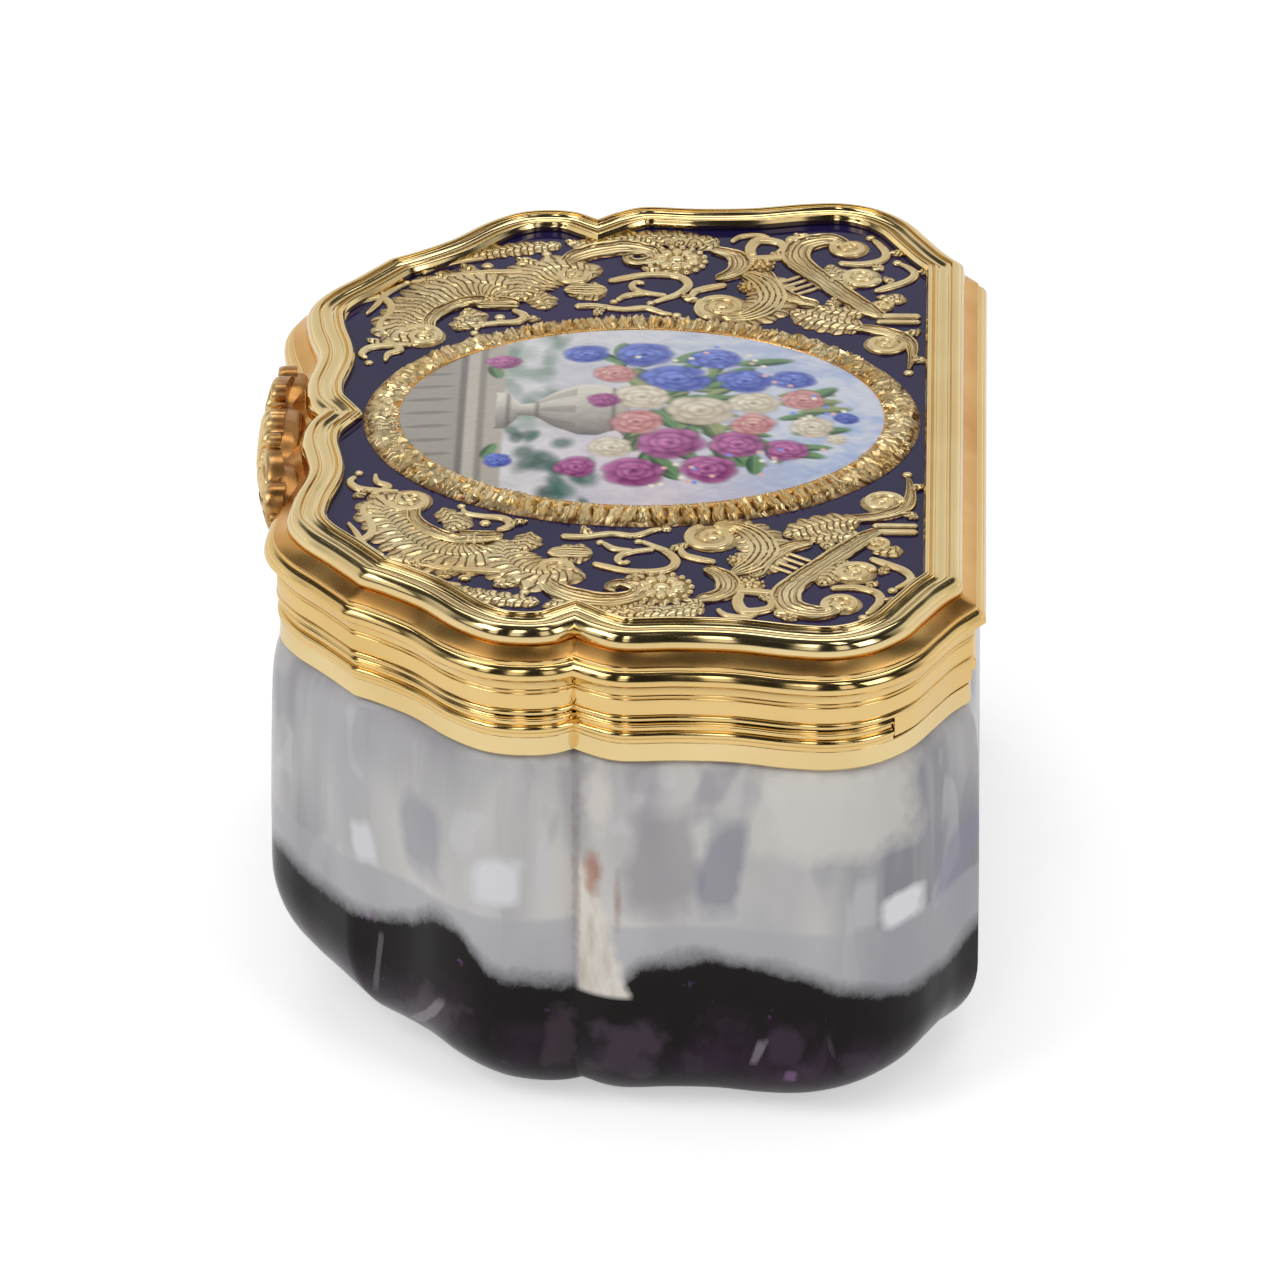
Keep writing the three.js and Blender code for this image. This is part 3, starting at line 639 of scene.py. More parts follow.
def dark_stone(nodes, place, above):
    """Amethyst: near black at its edge, plum lower down, with a few lilac glints and pale feathers."""
    plum = nodes.ramp(nodes.noise(150, 4, 0.55), (0.40, (0.007, 0.004, 0.005)), (0.64, (0.034, 0.014, 0.034)))
    rising = nodes.ramp(above + 0.5, (0.28, 0.0), (0.40, 1.0))
    dark = nodes.mix(rising, plum, (0.007, 0.0045, 0.004))
    clouds = nodes.ramp(nodes.noise(150, 5, 0.6, (1, 1, 0.7), 0.8), (0.55, 0.0), (0.74, 0.8))
    dark = nodes.mix(clouds * (1.0 - rising), dark, (0.085, 0.052, 0.095))
    feathers = nodes.ramp(nodes.noise(330, 4, 0.65, (1, 0.6, 0.22), 1.4), (0.66, 0.0), (0.76, 0.5))
    dark = nodes.mix(feathers, dark, (0.17, 0.13, 0.17))
    glints = nodes.ramp(nodes.noise(520, 2, 0.5), (0.70, 0.0), (0.78, 0.7))
    dark = nodes.mix(glints, dark, (0.20, 0.08, 0.24))
    for y, z, half_y, half_z, slant, strength, tone in FOOT_PANES:
        dark = nodes.mix(nodes.pane(place, (y, z), (half_y, half_z), slant, strength, 1.9), dark, tone)
    return dark


def cream_wedge(nodes, place):
    """A mask of the cream inclusion beside the notch, which narrows upward from its foot."""
    down = (WEDGE_TOP * MM - place[2]) * (1 / (WEDGE_HEIGHT * MM))
    ragged = (nodes.noise(620, 4) - 0.5) * (1.4 * MM)
    right = down * (WEDGE_SPREAD * MM) + WEDGE_RIGHT * MM
    inside = nodes.math("MULTIPLY", right + ragged - place[1], 1 / (0.9 * MM), clamp=True)
    left = nodes.math("MULTIPLY", place[1] - WEDGE_LEFT * MM, 1 / (0.5 * MM), clamp=True)
    started = nodes.math("MULTIPLY", down, 12.0, clamp=True)
    ended = nodes.ramp(down, (0.96, 1.0), (1.0, 0.0))
    return inside * left * started * ended * (place[0] > 20 * MM)


def banded_stone():
    """Pale milky quartz over a near-black amethyst foot, with one cream and rusty inclusion."""
    nodes = Finish("banded_stone")
    place = nodes.place()
    height = place[2] * (1 / (STONE_TOP * MM))
    line = nodes.curve(nodes.bearing(), [(angle / 360 + 0.5, z / STONE_TOP) for angle, z in DARK_BAND])
    above = height - line
    fringe = (nodes.noise(1900, 3, 0.8) - 0.5) * 0.028
    lumps = (nodes.noise(210, 2, 0.5) - 0.5) * 0.06
    band = nodes.ramp(above + fringe + (lumps + 0.5), (0.476, 0.0), (0.497, 0.45), (0.534, 1.0))

    def inclusion(y, z, half_y, half_z, ragged, soft, scale=900):
        return nodes.spot((NOTCH_X, y, z), (NOTCH_DEEP, half_y, half_z), ragged, soft, scale)

    pale = pale_stone(nodes, place)
    pale = nodes.mix(inclusion(-2.6, 30.6, 1.6, 4.6, 0.3, 0.7) * 0.8, pale, (0.80, 0.75, 0.69))
    rust = inclusion(-3.0, 23.6, 1.0, 2.6, 0.5, 0.7)
    pale = nodes.mix(rust * 0.75, pale, (0.46, 0.19, 0.11))
    pale = nodes.mix(inclusion(-0.9, 21.0, 0.5, 3.8, 0.5, 0.8) * 0.6, pale, (0.34, 0.20, 0.15))

    colour = nodes.mix(band, dark_stone(nodes, place, above), pale)
    wedge = cream_wedge(nodes, place)
    grain = nodes.ramp(nodes.noise(500, 4, 0.55, (1, 1, 0.35)),
                       (0.32, (0.64, 0.55, 0.46)), (0.55, (0.86, 0.81, 0.73)))
    colour = nodes.mix(wedge, colour, grain)
    # Painted shade: a dark brown line down the groove at the outline's corner by the notch, on the pale stone
    # only
    groove_shade = inclusion(-4.4, 24, 0.45, 14, 0.6, 0.8, 1400) * (band * 0.5)
    colour = nodes.mix(groove_shade, colour, (0.30, 0.21, 0.16))
    colour = nodes.mix(rust * wedge * 0.8, colour, (0.44, 0.17, 0.09))
    nodes.set(
        Base_Color=colour,
        Roughness=nodes.ramp(nodes.noise(300, 3), (0.4, 0.06), (0.8, 0.13)),
        Specular_IOR_Level=0.18,
        Subsurface_Weight=0.18,
        Subsurface_Radius=(0.003, 0.003, 0.0036),
        Subsurface_Scale=1.0,
        Normal=nodes.bump(nodes.noise(75, detail=2), 0.10, 0.0006),
    )
    return nodes.material


GOLD = polished_gold("gold_polished", (0.80, 0.53, 0.19), (0.87, 0.62, 0.26))
PALE_GOLD = polished_gold("gold_pale", (0.79, 0.575, 0.25), (0.875, 0.68, 0.345))
HOLLOW_GOLD = hollow_gold()
# Painted shade in the chased golds: the thumbpiece darker towards the lid, the scrolls and leaves darker low on
# the enamel
THUMB_GOLD = chased_gold("gold_thumbpiece", -30.9, -32.7, "Y", (0.92, 0.67, 0.32), (0.46, 0.22, 0.065))
SCROLL_GOLD = chased_gold("gold_scrolls", ENAMEL_TOP, ENAMEL_TOP + 0.39)
BORDER_GOLD = chased_gold(
    "gold_leaves", ENAMEL_TOP, ENAMEL_TOP + 0.72, pale=(0.98, 0.83, 0.52), deep=(0.20, 0.09, 0.026)
)
ENAMEL = blue_enamel()
PAINT = painted_enamel()
STONE = banded_stone()


# Stone bowl


def foot_ring(offset, radius_less, floor, turn):
    """A ring of the rounded foot, drawn in towards the middle."""
    ring = outline.ring(offset)
    depth = np.where(ring[:, 1] < 0, FRONT_DEPTH, BACK_DEPTH)
    share = np.minimum(1, (ring[:, 1] / depth) ** 2)
    end = np.where(ring[:, 1] < 0, FRONT_FOOT, BACK_FOOT)
    radius = SIDE_FOOT + (end - SIDE_FOOT) * share - radius_less
    inset = radius * (1 - math.cos(turn))
    return np.column_stack([
        ring[:, 0] * (1 - inset / HALF_LENGTH),
        ring[:, 1] * (1 - inset / depth),
        floor + radius * (1 - math.sin(turn)),
    ])


def stone_bowl():
    """The hollow stone from its underside up its outer side, over the lip and down inside."""
    belly = resampled(spline([
        (STONE_BULGE, BELLY_START), (STONE_BULGE * 0.97, STONE_TOP * 0.6),
        (STONE_BULGE * 0.8, APRON_BOTTOM - 3.2), (STONE_BULGE * 0.35, APRON_BOTTOM - 0.5),
        (STONE_LIP_OUTER, APRON_BOTTOM),
    ]), 22)[1:]
    rows = [foot_ring(STONE_BULGE, 0, 0, math.radians(turn)) for turn in np.linspace(90, 0, 19)]
    rows += [outline.level(*spot) for spot in belly if spot[1] > BELLY_START + 0.1]
    rows += [outline.level(STONE_LIP_OUTER, STONE_TOP), outline.level(STONE_LIP_INNER, STONE_TOP)]
    rows += [outline.level(STONE_BULGE - STONE_WALL, STONE_TOP * 0.6)]
    rows += [
        foot_ring(STONE_BULGE - STONE_WALL, CAVITY_CORNER_DROP, STONE_FLOOR, math.radians(turn))
        for turn in np.linspace(0, 90, 10)
    ]
    return net(rows, wrap_columns=True, cap=True)


# Gold mouldings


def collar_section():
    top = COLLAR_TOP
    foot = APRON_BOTTOM
    return [
        (STONE_LIP_INNER, top - 0.6), (APRON_INNER, top - 0.6), (APRON_INNER, foot + 0.25), (0.30, foot + 0.04),
        (0.56, foot), (0.68, foot + 0.04), (0.74, foot + 0.16), (0.70, foot + 0.50), (0.66, foot + 0.95),
        (0.64, top - 0.30), *arc((0.52, top - 0.12), 0.12, 0, 90, 5), (STONE_LIP_INNER, top),
    ]


def bezel_section():
    return [
        (BEZEL_INNER, COLLAR_TOP), (BEZEL_OUTER, COLLAR_TOP), (BEZEL_OUTER, BEZEL_TOP - 0.35),
        *arc((BEZEL_OUTER - 0.2, BEZEL_TOP - 0.2), 0.2, 0, 90, 5),
        *arc((BEZEL_INNER + 0.12, BEZEL_TOP - 0.12), 0.12, 90, 180, 4),
    ]


def bead_section():
    base = COLLAR_TOP
    inner = BEZEL_OUTER + 0.1
    return [
        (inner, base), (0.72, base), (0.76, base + 0.08), (0.76, base + 0.26),
        *arc((0.48, base + 0.66), 0.40, -48, 80, 14),
        (0.57, base + 1.10), (0.56, base + 1.40), (0.62, base + 1.50),
        *arc((0.64, base + 1.66), 0.14, -70, 75, 7),
        (0.60, BEAD_TOP - 0.05), (inner, BEAD_TOP),
    ]


def wall_section():
    top = WALL_TOP
    foot = LID_BOTTOM
    return [
        (WALL_INNER, foot), (WALL_OUTER - 0.16, foot),
        *arc((WALL_OUTER - 0.22, foot + 0.28), 0.28, -80, 78, 12),
        (WALL_OUTER - 0.14, foot + 0.60), (WALL_OUTER - 0.02, foot + 0.70), (WALL_OUTER, foot + 0.80),
        (WALL_OUTER, top - 1.78), (WALL_OUTER - 0.03, top - 1.72), (WALL_OUTER - 0.12, top - 1.66),
        (WALL_OUTER - 0.12, top - 1.52),
        *arc((WALL_OUTER - 0.02, top - 1.40), 0.13, -60, 70, 6),
        (WALL_OUTER + 0.04, top - 1.20), (WALL_OUTER + 0.10, top - 0.86), (WALL_OUTER + 0.24, top - 0.52),
        (WALL_OUTER + 0.48, top - 0.24), (WALL_OUTER + 0.80, top - 0.06), (WALL_OUTER + 0.84, top),
        (WALL_INNER, top),
    ]


def bent(centre, reach, rise, start, end, steps):
    """An arc drawn out to an ellipse: how far it reaches outward and how high it rises."""
    return [
        (centre[0] + reach * x, centre[1] + rise * z)
        for x, z in arc((0, 0), 1.0, start, end, steps)
    ]


def ovolo_section():
    base = WALL_TOP
    return [
        (WALL_INNER, base), (OVOLO_OUTER - 0.14, base),
        *arc((OVOLO_OUTER - 0.12, base + 0.12), 0.12, -80, 0, 4),
        *bent((OVOLO_OUTER - 0.76, base + 0.14), 0.76, 1.02, 0, 84, 16),
        (1.22, base + 1.16), (1.20, base + 1.30),
        *arc((1.10, OVOLO_TOP - 0.12), 0.11, 0, 90, 5),
        (WALL_INNER, OVOLO_TOP),
    ]


def cavetto_section():
    base = OVOLO_TOP
    top = CAVETTO_TOP - RIM_DROP
    face = [
        (CAVETTO_FOOT * (1 - t) - 0.02, base + 0.06 + (top - base - 0.06) * (0.74 * t + 0.26 * t * t))
        for t in np.linspace(0, 1, 12)
    ]
    return [
        (-RIM_SEAT, base), (CAVETTO_FOOT, base), *face,
        (-0.38, top), (-0.38, CAVETTO_TOP), (-RIM_SEAT, CAVETTO_TOP),
    ]


def rim_section():
    top = RIM_TOP
    foot = CAVETTO_TOP - RIM_DROP
    return [
        (-RIM_SEAT, CAVETTO_TOP), (-0.36, CAVETTO_TOP), (-0.36, foot + 0.02), (-0.24, foot + 0.02),
        *bent((-0.37, foot + 0.48), 0.35, 0.48, -58, -8, 7),
        *bent((-0.94, foot + 0.48), 0.92, top - foot - 0.48, 0, 100, 22),
        (-1.10, top - 0.10), (-1.14, top - 0.26), (-1.19, top - 0.27),
        *arc((-1.31, top - 0.20), 0.12, 0, 150, 6),
        (-1.46, top - 0.22),
        *arc((-1.90, top + 0.34), 0.70, 231, 309, 9)[::-1],
        (-2.36, top - 0.20), (-2.40, top - 0.11), (-2.50, top - 0.06), (-2.60, top - 0.09),
        (-2.66, top - 0.27), (-2.74, top - 0.31), (-2.80, top - 0.24),
        *arc((-3.02, top - 0.17), 0.21, 15, 165, 8),
        (-RIM_WIDTH + 0.06, top - 0.30), (-RIM_WIDTH, top - 0.38), (-RIM_WIDTH, ENAMEL_TOP + 0.1),
        (-RIM_SEAT, ENAMEL_TOP + 0.1),
    ]


def mouldings():
    """All the gold mouldings; past the skirt's start the wall comes down and the bead stops."""
    ring = outline.ring(0)
    count = len(ring)
    skirt = int(np.argmax((ring[:, 0] > 0) & (ring[:, 1] > SKIRT_START * BACK_DEPTH)))
    corner = sum(outline.counts[:3])
    piece("base_collar_fine", moulding(collar_section()), "base", PALE_GOLD, ["base_collar"])
    piece("inner_bezel_fine", moulding(bezel_section()), "base", GOLD, ["inner_bezel"])
    bead = moulding_run(bead_section(), count - skirt + BEAD_GAP, count + skirt - BEAD_GAP)
    piece("base_bead_fine", bead, "base", GOLD, ["base_bead"])
    wall = moulding(wall_section())
    inner, outer, top = WALL_INNER + 0.05, WALL_OUTER - 0.1, LID_BOTTOM + 0.3
    skirt_shape = [
        (inner, SKIRT_BOTTOM), (outer - 0.06, SKIRT_BOTTOM), (outer, SKIRT_BOTTOM + 0.08), (outer, top),
        (inner, top),
    ]
    for first, last in ((skirt, corner), (count - corner, count - skirt)):
        part = moulding_run(skirt_shape, first, last)
        wall.add(part.points, part.faces)
    piece("lid_wall_fine", wall, "lid", GOLD, ["lid_wall"])
    piece("ovolo_moulding_fine", moulding(ovolo_section()), "lid", GOLD, ["ovolo_moulding"])
    piece("cavetto_moulding_fine", moulding(cavetto_section()), "lid", HOLLOW_GOLD,
          ["cavetto_moulding"])
    piece("upper_rim_fine", moulding(rim_section()), "lid", PALE_GOLD, ["upper_rim"])


# Raised ornament

# How far ornament is sunk into the enamel, the step between a ribbon's rows, and the sides of a boss
SUNK = 0.08
RIBBON_STEP = 0.2
BOSS_SIDES = 18
# What is engraved on each kind of ribbon: nothing, rails or ribs
CHASING_CODES = {"round": 0.0, "channel": 1.0, "reeded": 1.0, "leaf": 2.0}


def widths_along(route, widths, along):
    """Widths given at the route's own points, spread along the curve."""
    spots = np.linspace(0, along[-1], len(widths)) if len(widths) != len(route) else lengths(route)
    spots = spots / spots[-1] * along[-1]
    return np.interp(along, spots, widths)


def relief(kind, across, along, pitch):
    """How high a ribbon stands, as a share, for places across it and along it."""
    edge = np.abs(across)
    fall = 1 - 0.6 * edge**10
    if kind == "channel":
        lines = np.exp(-(((edge - 0.50) / 0.09) ** 2)) + 0.6 * np.exp(-((across / 0.09) ** 2))
        return (0.74 + 0.26 * np.exp(-(((edge - 0.76) / 0.15) ** 2)) - 0.42 * lines) * fall
    if kind == "reeded":
        return (0.45 + 0.55 * np.abs(np.cos(2.5 * math.pi * across)) ** 0.45) * fall
    if kind == "leaf":
        phase = along / pitch + 0.55 * edge
        veins = np.exp(-(((phase - np.round(phase)) / 0.11) ** 2)) * np.clip((edge - 0.12) / 0.3, 0, 1)
        return (0.72 + 0.28 * (1 - edge**2) - 0.45 * veins - 0.38 * np.exp(-((across / 0.09) ** 2))) * fall
    return 0.30 + 0.70 * np.sqrt(np.clip(1 - across**4, 0, 1))


def ribbon_rows(route, widths, kind, rise, step, pitch):
    """Rows of places across a ribbon and their heights; pitch is the length of one lobe of a leaf."""
    curve = spline(route)
    count = max(8, int(lengths(curve)[-1] / step))
    curve = resampled(curve, count)
    along = lengths(curve)
    wide = widths_along(np.asarray(route, float), widths, along)
    if kind == "leaf":
        wide = wide * (0.78 + 0.34 * np.abs(np.sin(math.pi * (along / pitch + 0.55))) ** 0.55)
    tangent = np.gradient(curve, axis=0)
    tangent /= np.linalg.norm(tangent, axis=1)[:, None]
    side = np.stack([-tangent[:, 1], tangent[:, 0]], axis=1)
    reach = np.minimum(along, along[-1] - along)
    blunt = np.maximum(wide / 2, 0.12)
    ends = np.sqrt(np.clip(1 - np.clip(1 - reach / blunt, 0, 1) ** 2, 0.02, 1))
    across = np.linspace(-1, 1, 9 if kind == "round" else 21)
    half = (wide * ends / 2)[:, None, None]
    place = curve[:, None, :] + side[:, None, :] * (across[None, :, None] * half)
    if kind == "leaf":
        lean = 0.3 * pitch * (across**2)[None, :] * (ends * np.clip((along[-1] - along) / pitch, 0, 1))[:, None]
        place = place + tangent[:, None, :] * lean[:, :, None]
    height = relief(kind, across[None, :], along[:, None], pitch)
    height = height * (0.45 + 0.55 * ends)[:, None] * rise
    return place, height


def lay_ribbon(made, route, widths, kind, rise, pitch=1.3):
    """Lays a ribbon on the enamel as a closed body."""
    place, height = ribbon_rows(route, widths, kind, rise, RIBBON_STEP, pitch)
    top = np.concatenate([place, ENAMEL_TOP + height[:, :, None]], axis=2)
    under = top[:, [-1, 0], :].copy()
    under[:, :, 2] = ENAMEL_TOP - SUNK
    count, columns = height.shape
    along = np.repeat(lengths(place[:, columns // 2]), columns + 2)
    across = np.tile([*np.linspace(-1, 1, columns), 1, -1], count)
    code = np.full(len(along), CHASING_CODES[kind])
    marks = list(map(tuple, np.column_stack([across, along, code])))
    made.grid(np.concatenate([top, under], axis=1), wrap_columns=True, cap=True, marks=marks)


def ways(count, shift=0.0):
    """Evenly spread directions round a point, from a share of a step on."""
    angles = 2 * math.pi * (np.arange(count) + shift) / count
    return np.column_stack([np.cos(angles), np.sin(angles)])


def curl(made, centre, radius, start, turns, width, rise):
    """A volute that winds in to a small ball; a negative number of turns winds clockwise."""
    count = max(8, int(abs(turns) * 14))
    angles = math.radians(start) + np.linspace(0, turns * 2 * math.pi, count)
    reach = radius * np.linspace(1, 0.28, count)
    route = np.column_stack([centre[0] + reach * np.cos(angles), centre[1] + reach * np.sin(angles)])
    lay_ribbon(made, route, [width, width * 0.9, width * 0.5], "round", rise)
    lay_dome(made, centre, radius * 0.30, rise * 1.1)


def lay_dome(made, centre, radius, rise):
    """A round boss that stands on the enamel."""
    edge = radius * ways(BOSS_SIDES)
    levels = [(1.0, -SUNK)]
    levels += [(share, rise * math.sqrt(1 - (share * 0.93) ** 2)) for share in np.linspace(1, 0.04, 6)]
    rows = [
        np.column_stack([np.asarray(centre) + edge * share, np.full(len(edge), ENAMEL_TOP + height)])
        for share, height in levels
    ]
    made.grid(rows, wrap_columns=True, cap=True)


def rosette(made, centre, radius, petals):
    """A flower: a button, petals round it and a ring of beads on a low disc."""
    lay_dome(made, centre, radius, 0.13)
    lay_dome(made, centre, radius * 0.26, 0.46)
    widths = [radius * 0.12, radius * 0.36, radius * 0.30]
    for way in ways(petals):
        root, tip = centre + way * radius * 0.30, centre + way * radius * 0.76
        lay_ribbon(made, [root, (root + tip) / 2, tip], widths, "round", 0.38)
    for way in ways(int(petals * 1.7), 0.5):
        lay_dome(made, centre + way * radius * 0.93, radius * 0.11, 0.32)


def leaflet(made, root, tip, width):
    """A small pointed leaf."""
    root, tip = np.array(root, float), np.array(tip, float)
    bow = np.array([-(tip - root)[1], (tip - root)[0]]) * 0.12
    widths = [width * 0.5, width * 1.3, width * 0.2]
    lay_ribbon(made, [root, (root + tip) / 2 + bow, tip], widths, "leaf", 0.32, pitch=0.9)


# Ribbons of the scrollwork on the right: kind, rise, route and widths
SCROLL_RIBBONS = [
    ("leaf", 0.62, [(14.9, -18.2), (15.2, -20.6), (17.2, -21.3), (19.6, -20.3), (22.2, -18.9), (24.3, -17),
                    (25.2, -14.8), (24.6, -12.6), (23.2, -11.4)], [1.2, 2.6, 3, 3.2, 3.6, 4.2, 4.2, 3.2, 1.6]),
    ("channel", 0.75, [(16.2, -18.6), (18.4, -18.6), (20.6, -17.2), (22, -15), (22, -12.6), (21.6, -11)],
     [1.2, 1.4, 1.6, 1.6, 1.4, 1.0]),
    ("round", 0.42, [(17.2, -26.3), (20.4, -25.8), (22.2, -24.2), (22.2, -22.8), (20.8, -22.1), (19, -22.3),
                     (17.6, -22.9), (16.4, -22.9), (15.4, -22.2)], [0.5, 0.7, 0.9, 0.9, 0.8, 0.8, 0.7, 0.6, 0.4]),
    ("round", 0.40, [(13.6, -20), (13.4, -22), (13, -23.6), (11.8, -24.3), (10.9, -23.8)],
     [0.5, 0.8, 0.9, 0.7, 0.4]),
    ("round", 0.40, [(14.2, -22.4), (12.7, -21), (11.8, -22), (10.4, -22.2)], [0.4, 0.8, 0.7, 0.3]),
    ("leaf", 0.55, [(20.6, -15.6), (18.8, -15), (17.6, -15.8), (16.5, -16.3)], [1.4, 1.8, 1.3, 0.4]),
    ("channel", 0.60, [(21.2, -14.8), (21.3, -12), (21, -11)], [1.4, 1.4, 1.0]),
    ("round", 0.42, [(20.4, -11.6), (19.4, -10.5), (18.2, -11), (17.8, -13), (17.3, -14.3), (16.3, -14.6)],
     [0.5, 0.9, 0.9, 0.7, 0.6, 0.3]),
    ("leaf", 0.70, [(22, -10.8), (24.4, -10.9), (26.6, -10), (28.2, -8.2), (28, -6), (26.4, -5.2)],
     [2.4, 3.4, 3.6, 3.4, 2.6, 1.6]),
    ("leaf", 0.55, [(24, -9.4), (22.2, -9), (20.6, -8.6)], [1.6, 1.6, 0.4]),
    ("reeded", 0.62, [(24.3, -7.2), (24.2, -5.2), (24.3, -3.4)], [1.6, 2.2, 1.8]),
    ("round", 0.42, [(25.4, -20.6), (26.4, -18), (27.3, -15), (27.6, -12), (27.8, -9.5)], [0.5, 0.7, 0.9, 1, 1]),
    ("round", 0.42, [(28, -10.2), (29.4, -8.9), (31, -8.9)], [0.9, 0.9, 0.4]),
    ("channel", 0.72, [(28.6, -7.6), (30.6, -6.4), (32, -4.4), (32.6, -2), (31.8, 0.2), (30.2, 0.6), (29.6, -1),
                       (30.4, -1.9), (31, -1.3)], [1.2, 2.2, 2.8, 2.6, 2, 1.6, 1.2, 0.9, 0.7]),
    ("leaf", 0.50, [(33.8, -7.4), (33, -5.6), (32.9, -4.4)], [0.5, 1.5, 0.8]),
    ("channel", 0.66, [(32.4, 5.4), (31.2, 7.6), (29.6, 8.1), (28, 7.6), (26.6, 6)], [1, 2, 2.4, 2, 1]),
    ("reeded", 0.68, [(27.8, 8.4), (26, 10.2), (23.4, 11), (21, 10.3), (19.4, 8.6), (19.3, 6.6)],
     [1.4, 2.6, 2.8, 2.6, 2, 1.2]),
    ("round", 0.42, [(22, 0.6), (22.8, 1.6), (23.8, 2.8), (25.4, 3.6), (26.8, 3.1), (27.4, 1.6), (27.3, -0.4),
                     (26.6, -2.2), (26, -3.4)], [0.4, 0.6, 0.8, 0.9, 0.9, 0.9, 0.8, 0.8, 0.6]),
    ("round", 0.40, [(25.6, -0.2), (25.9, -0.9), (25.2, -1.3), (24.4, -0.9), (23.8, 0.2), (23.4, 1.8)],
     [0.5, 0.6, 0.7, 0.7, 0.7, 0.5]),
    ("round", 0.40, [(22.3, -2.6), (23.4, -1.6), (23.7, 0)], [0.4, 0.8, 0.5]),
    ("round", 0.42, [(22.6, 3.9), (24.2, 4.2), (25, 5.4), (25.6, 7)], [0.4, 0.8, 0.9, 0.7]),
    ("round", 0.42, [(21.2, -6.2), (21.3, -4.4), (20.7, -2), (21, 0), (20, 1.6), (19.8, 2.4)],
     [0.8, 0.8, 0.7, 0.8, 0.6, 0.4]),
    ("channel", 0.75, [(33.2, 17.4), (34.4, 15.8), (33.4, 13.4), (31, 12.9), (28.8, 13.9), (26.4, 15.5),
                       (23.8, 17.3), (21, 19.4), (19.6, 20.8)], [1.4, 2.2, 2.8, 2.8, 2.4, 2.2, 2.3, 2, 1]),
    ("leaf", 0.60, [(29.6, 15.8), (27.4, 16.6), (25, 18)], [1.2, 1.8, 0.8]),
    ("channel", 0.60, [(28.2, 10.2), (25.6, 11), (23.2, 12.6), (21.8, 15)], [1.6, 1.7, 1.7, 1.5]),
    ("round", 0.42, [(30, 16.6), (29.8, 18.6), (30.6, 20.4), (32, 20.8), (33.6, 20.2), (34.6, 19.6)],
     [0.7, 0.9, 0.9, 0.9, 0.7, 0.4]),
    ("round", 0.42, [(30, 22), (28.4, 23.3), (26.8, 22.8), (25.4, 21), (24.6, 19.8)], [0.4, 0.8, 0.9, 0.9, 0.6]),
    ("leaf", 0.50, [(23.6, 20), (23.2, 21.6), (22.4, 22.2)], [0.6, 1.4, 0.5]),
    ("round", 0.50, [(19.9, 20.4), (19.9, 23.9)], [0.8, 0.8]),
    ("round", 0.50, [(18.8, 20), (18.8, 23.9)], [0.6, 0.6]),
    ("leaf", 0.60, [(20.8, 12.6), (19.6, 14.4), (18.4, 16.6), (17.8, 19)], [1.6, 2.4, 2.2, 1.2]),
    ("channel", 0.55, [(17.6, 17.4), (17.4, 19.6), (16.4, 21.8), (14.8, 23), (12.4, 23.2), (9.8, 22.9)],
     [1, 1.4, 1.6, 1.4, 0.9, 0.3]),
    ("round", 0.55, [(31, 9.2), (32.6, 8.9), (34.2, 9.6), (33.8, 11.4), (32.6, 11.8), (31.8, 11.2)],
     [0.8, 1.1, 1.2, 1.0, 0.8, 0.5]),
    ("round", 0.50, [(30.6, 8.6), (30.8, 10.5), (31, 12)], [0.9, 1.0, 0.9]),
    ("leaf", 0.45, [(29.8, -16.6), (31.2, -14.2), (32.3, -11), (33.0, -7.6)], [0.5, 1.3, 1.5, 0.8]),
    ("leaf", 0.45, [(33.4, -5.2), (34.3, -1.6), (34.6, 2.2), (33.8, 6.2)], [1.0, 1.7, 1.7, 0.8]),
    ("round", 0.42, [(27.0, -19.6), (28.6, -18.2), (29.6, -16.4), (30.2, -14.2)], [0.3, 0.6, 0.7, 0.5]),
    ("round", 0.40, [(19.2, -24.2), (21.0, -23.4), (23.2, -22.6), (25.2, -20.9)], [0.3, 0.6, 0.7, 0.5]),
    ("leaf", 0.45, [(21.6, 14.6), (20.6, 17.0), (20.8, 19.2)], [0.9, 1.6, 0.8]),
    ("round", 0.40, [(33.8, 7.2), (34.9, 8.0), (35.2, 9.6), (34.6, 10.6)], [0.4, 0.7, 0.7, 0.4]),
]
# Leaflets: root, tip and width
SCROLL_LEAFLETS = [
    ((32.6, 1.2), (34.8, -1.5), 1.4), ((32.8, 1.8), (35.0, 0.5), 1.4), ((32.9, 2.6), (35.0, 2.5), 1.4),
    ((32.7, 3.5), (34.6, 4.4), 1.3), ((32.3, 4.3), (33.8, 6.0), 1.2),
    ((26.6, -18), (24.9, -19.4), 0.9), ((27.3, -15), (28.9, -16.4), 0.9), ((20.2, -25.8), (21.6, -27.2), 0.8),
    ((22.2, -23.4), (24.0, -23.4), 0.9), ((19.4, -10.6), (18.6, -9.0), 0.8), ((21.0, -3.2), (19.4, -4.4), 0.8),
    ((27.4, 1.2), (28.6, -0.6), 0.8), ((24.0, 2.9), (22.4, 4.9), 0.8), ((30.2, 19.8), (28.7, 20.6), 0.9),
    ((32.0, 20.8), (32.4, 22.4), 0.9), ((28.2, 23.2), (29.0, 24.6), 0.8), ((25.6, 21.2), (27.4, 20.6), 0.8),
    ((12.6, 23.2), (11.4, 24.5), 0.9), ((13.2, -22.8), (14.6, -24.0), 0.8), ((16.6, 22.2), (17.4, 23.9), 0.9),
    ((31.2, 12.4), (31.6, 10.6), 1.0), ((34.2, 14.2), (35.4, 12.6), 1.0), ((23.4, 16.4), (21.4, 16.6), 1.1),
    ((25.4, -16.8), (27.0, -18.6), 1.1), ((17.4, -21.2), (16.2, -19.4), 1.0), ((28.6, -9.4), (30.2, -11.6), 1.0),
]
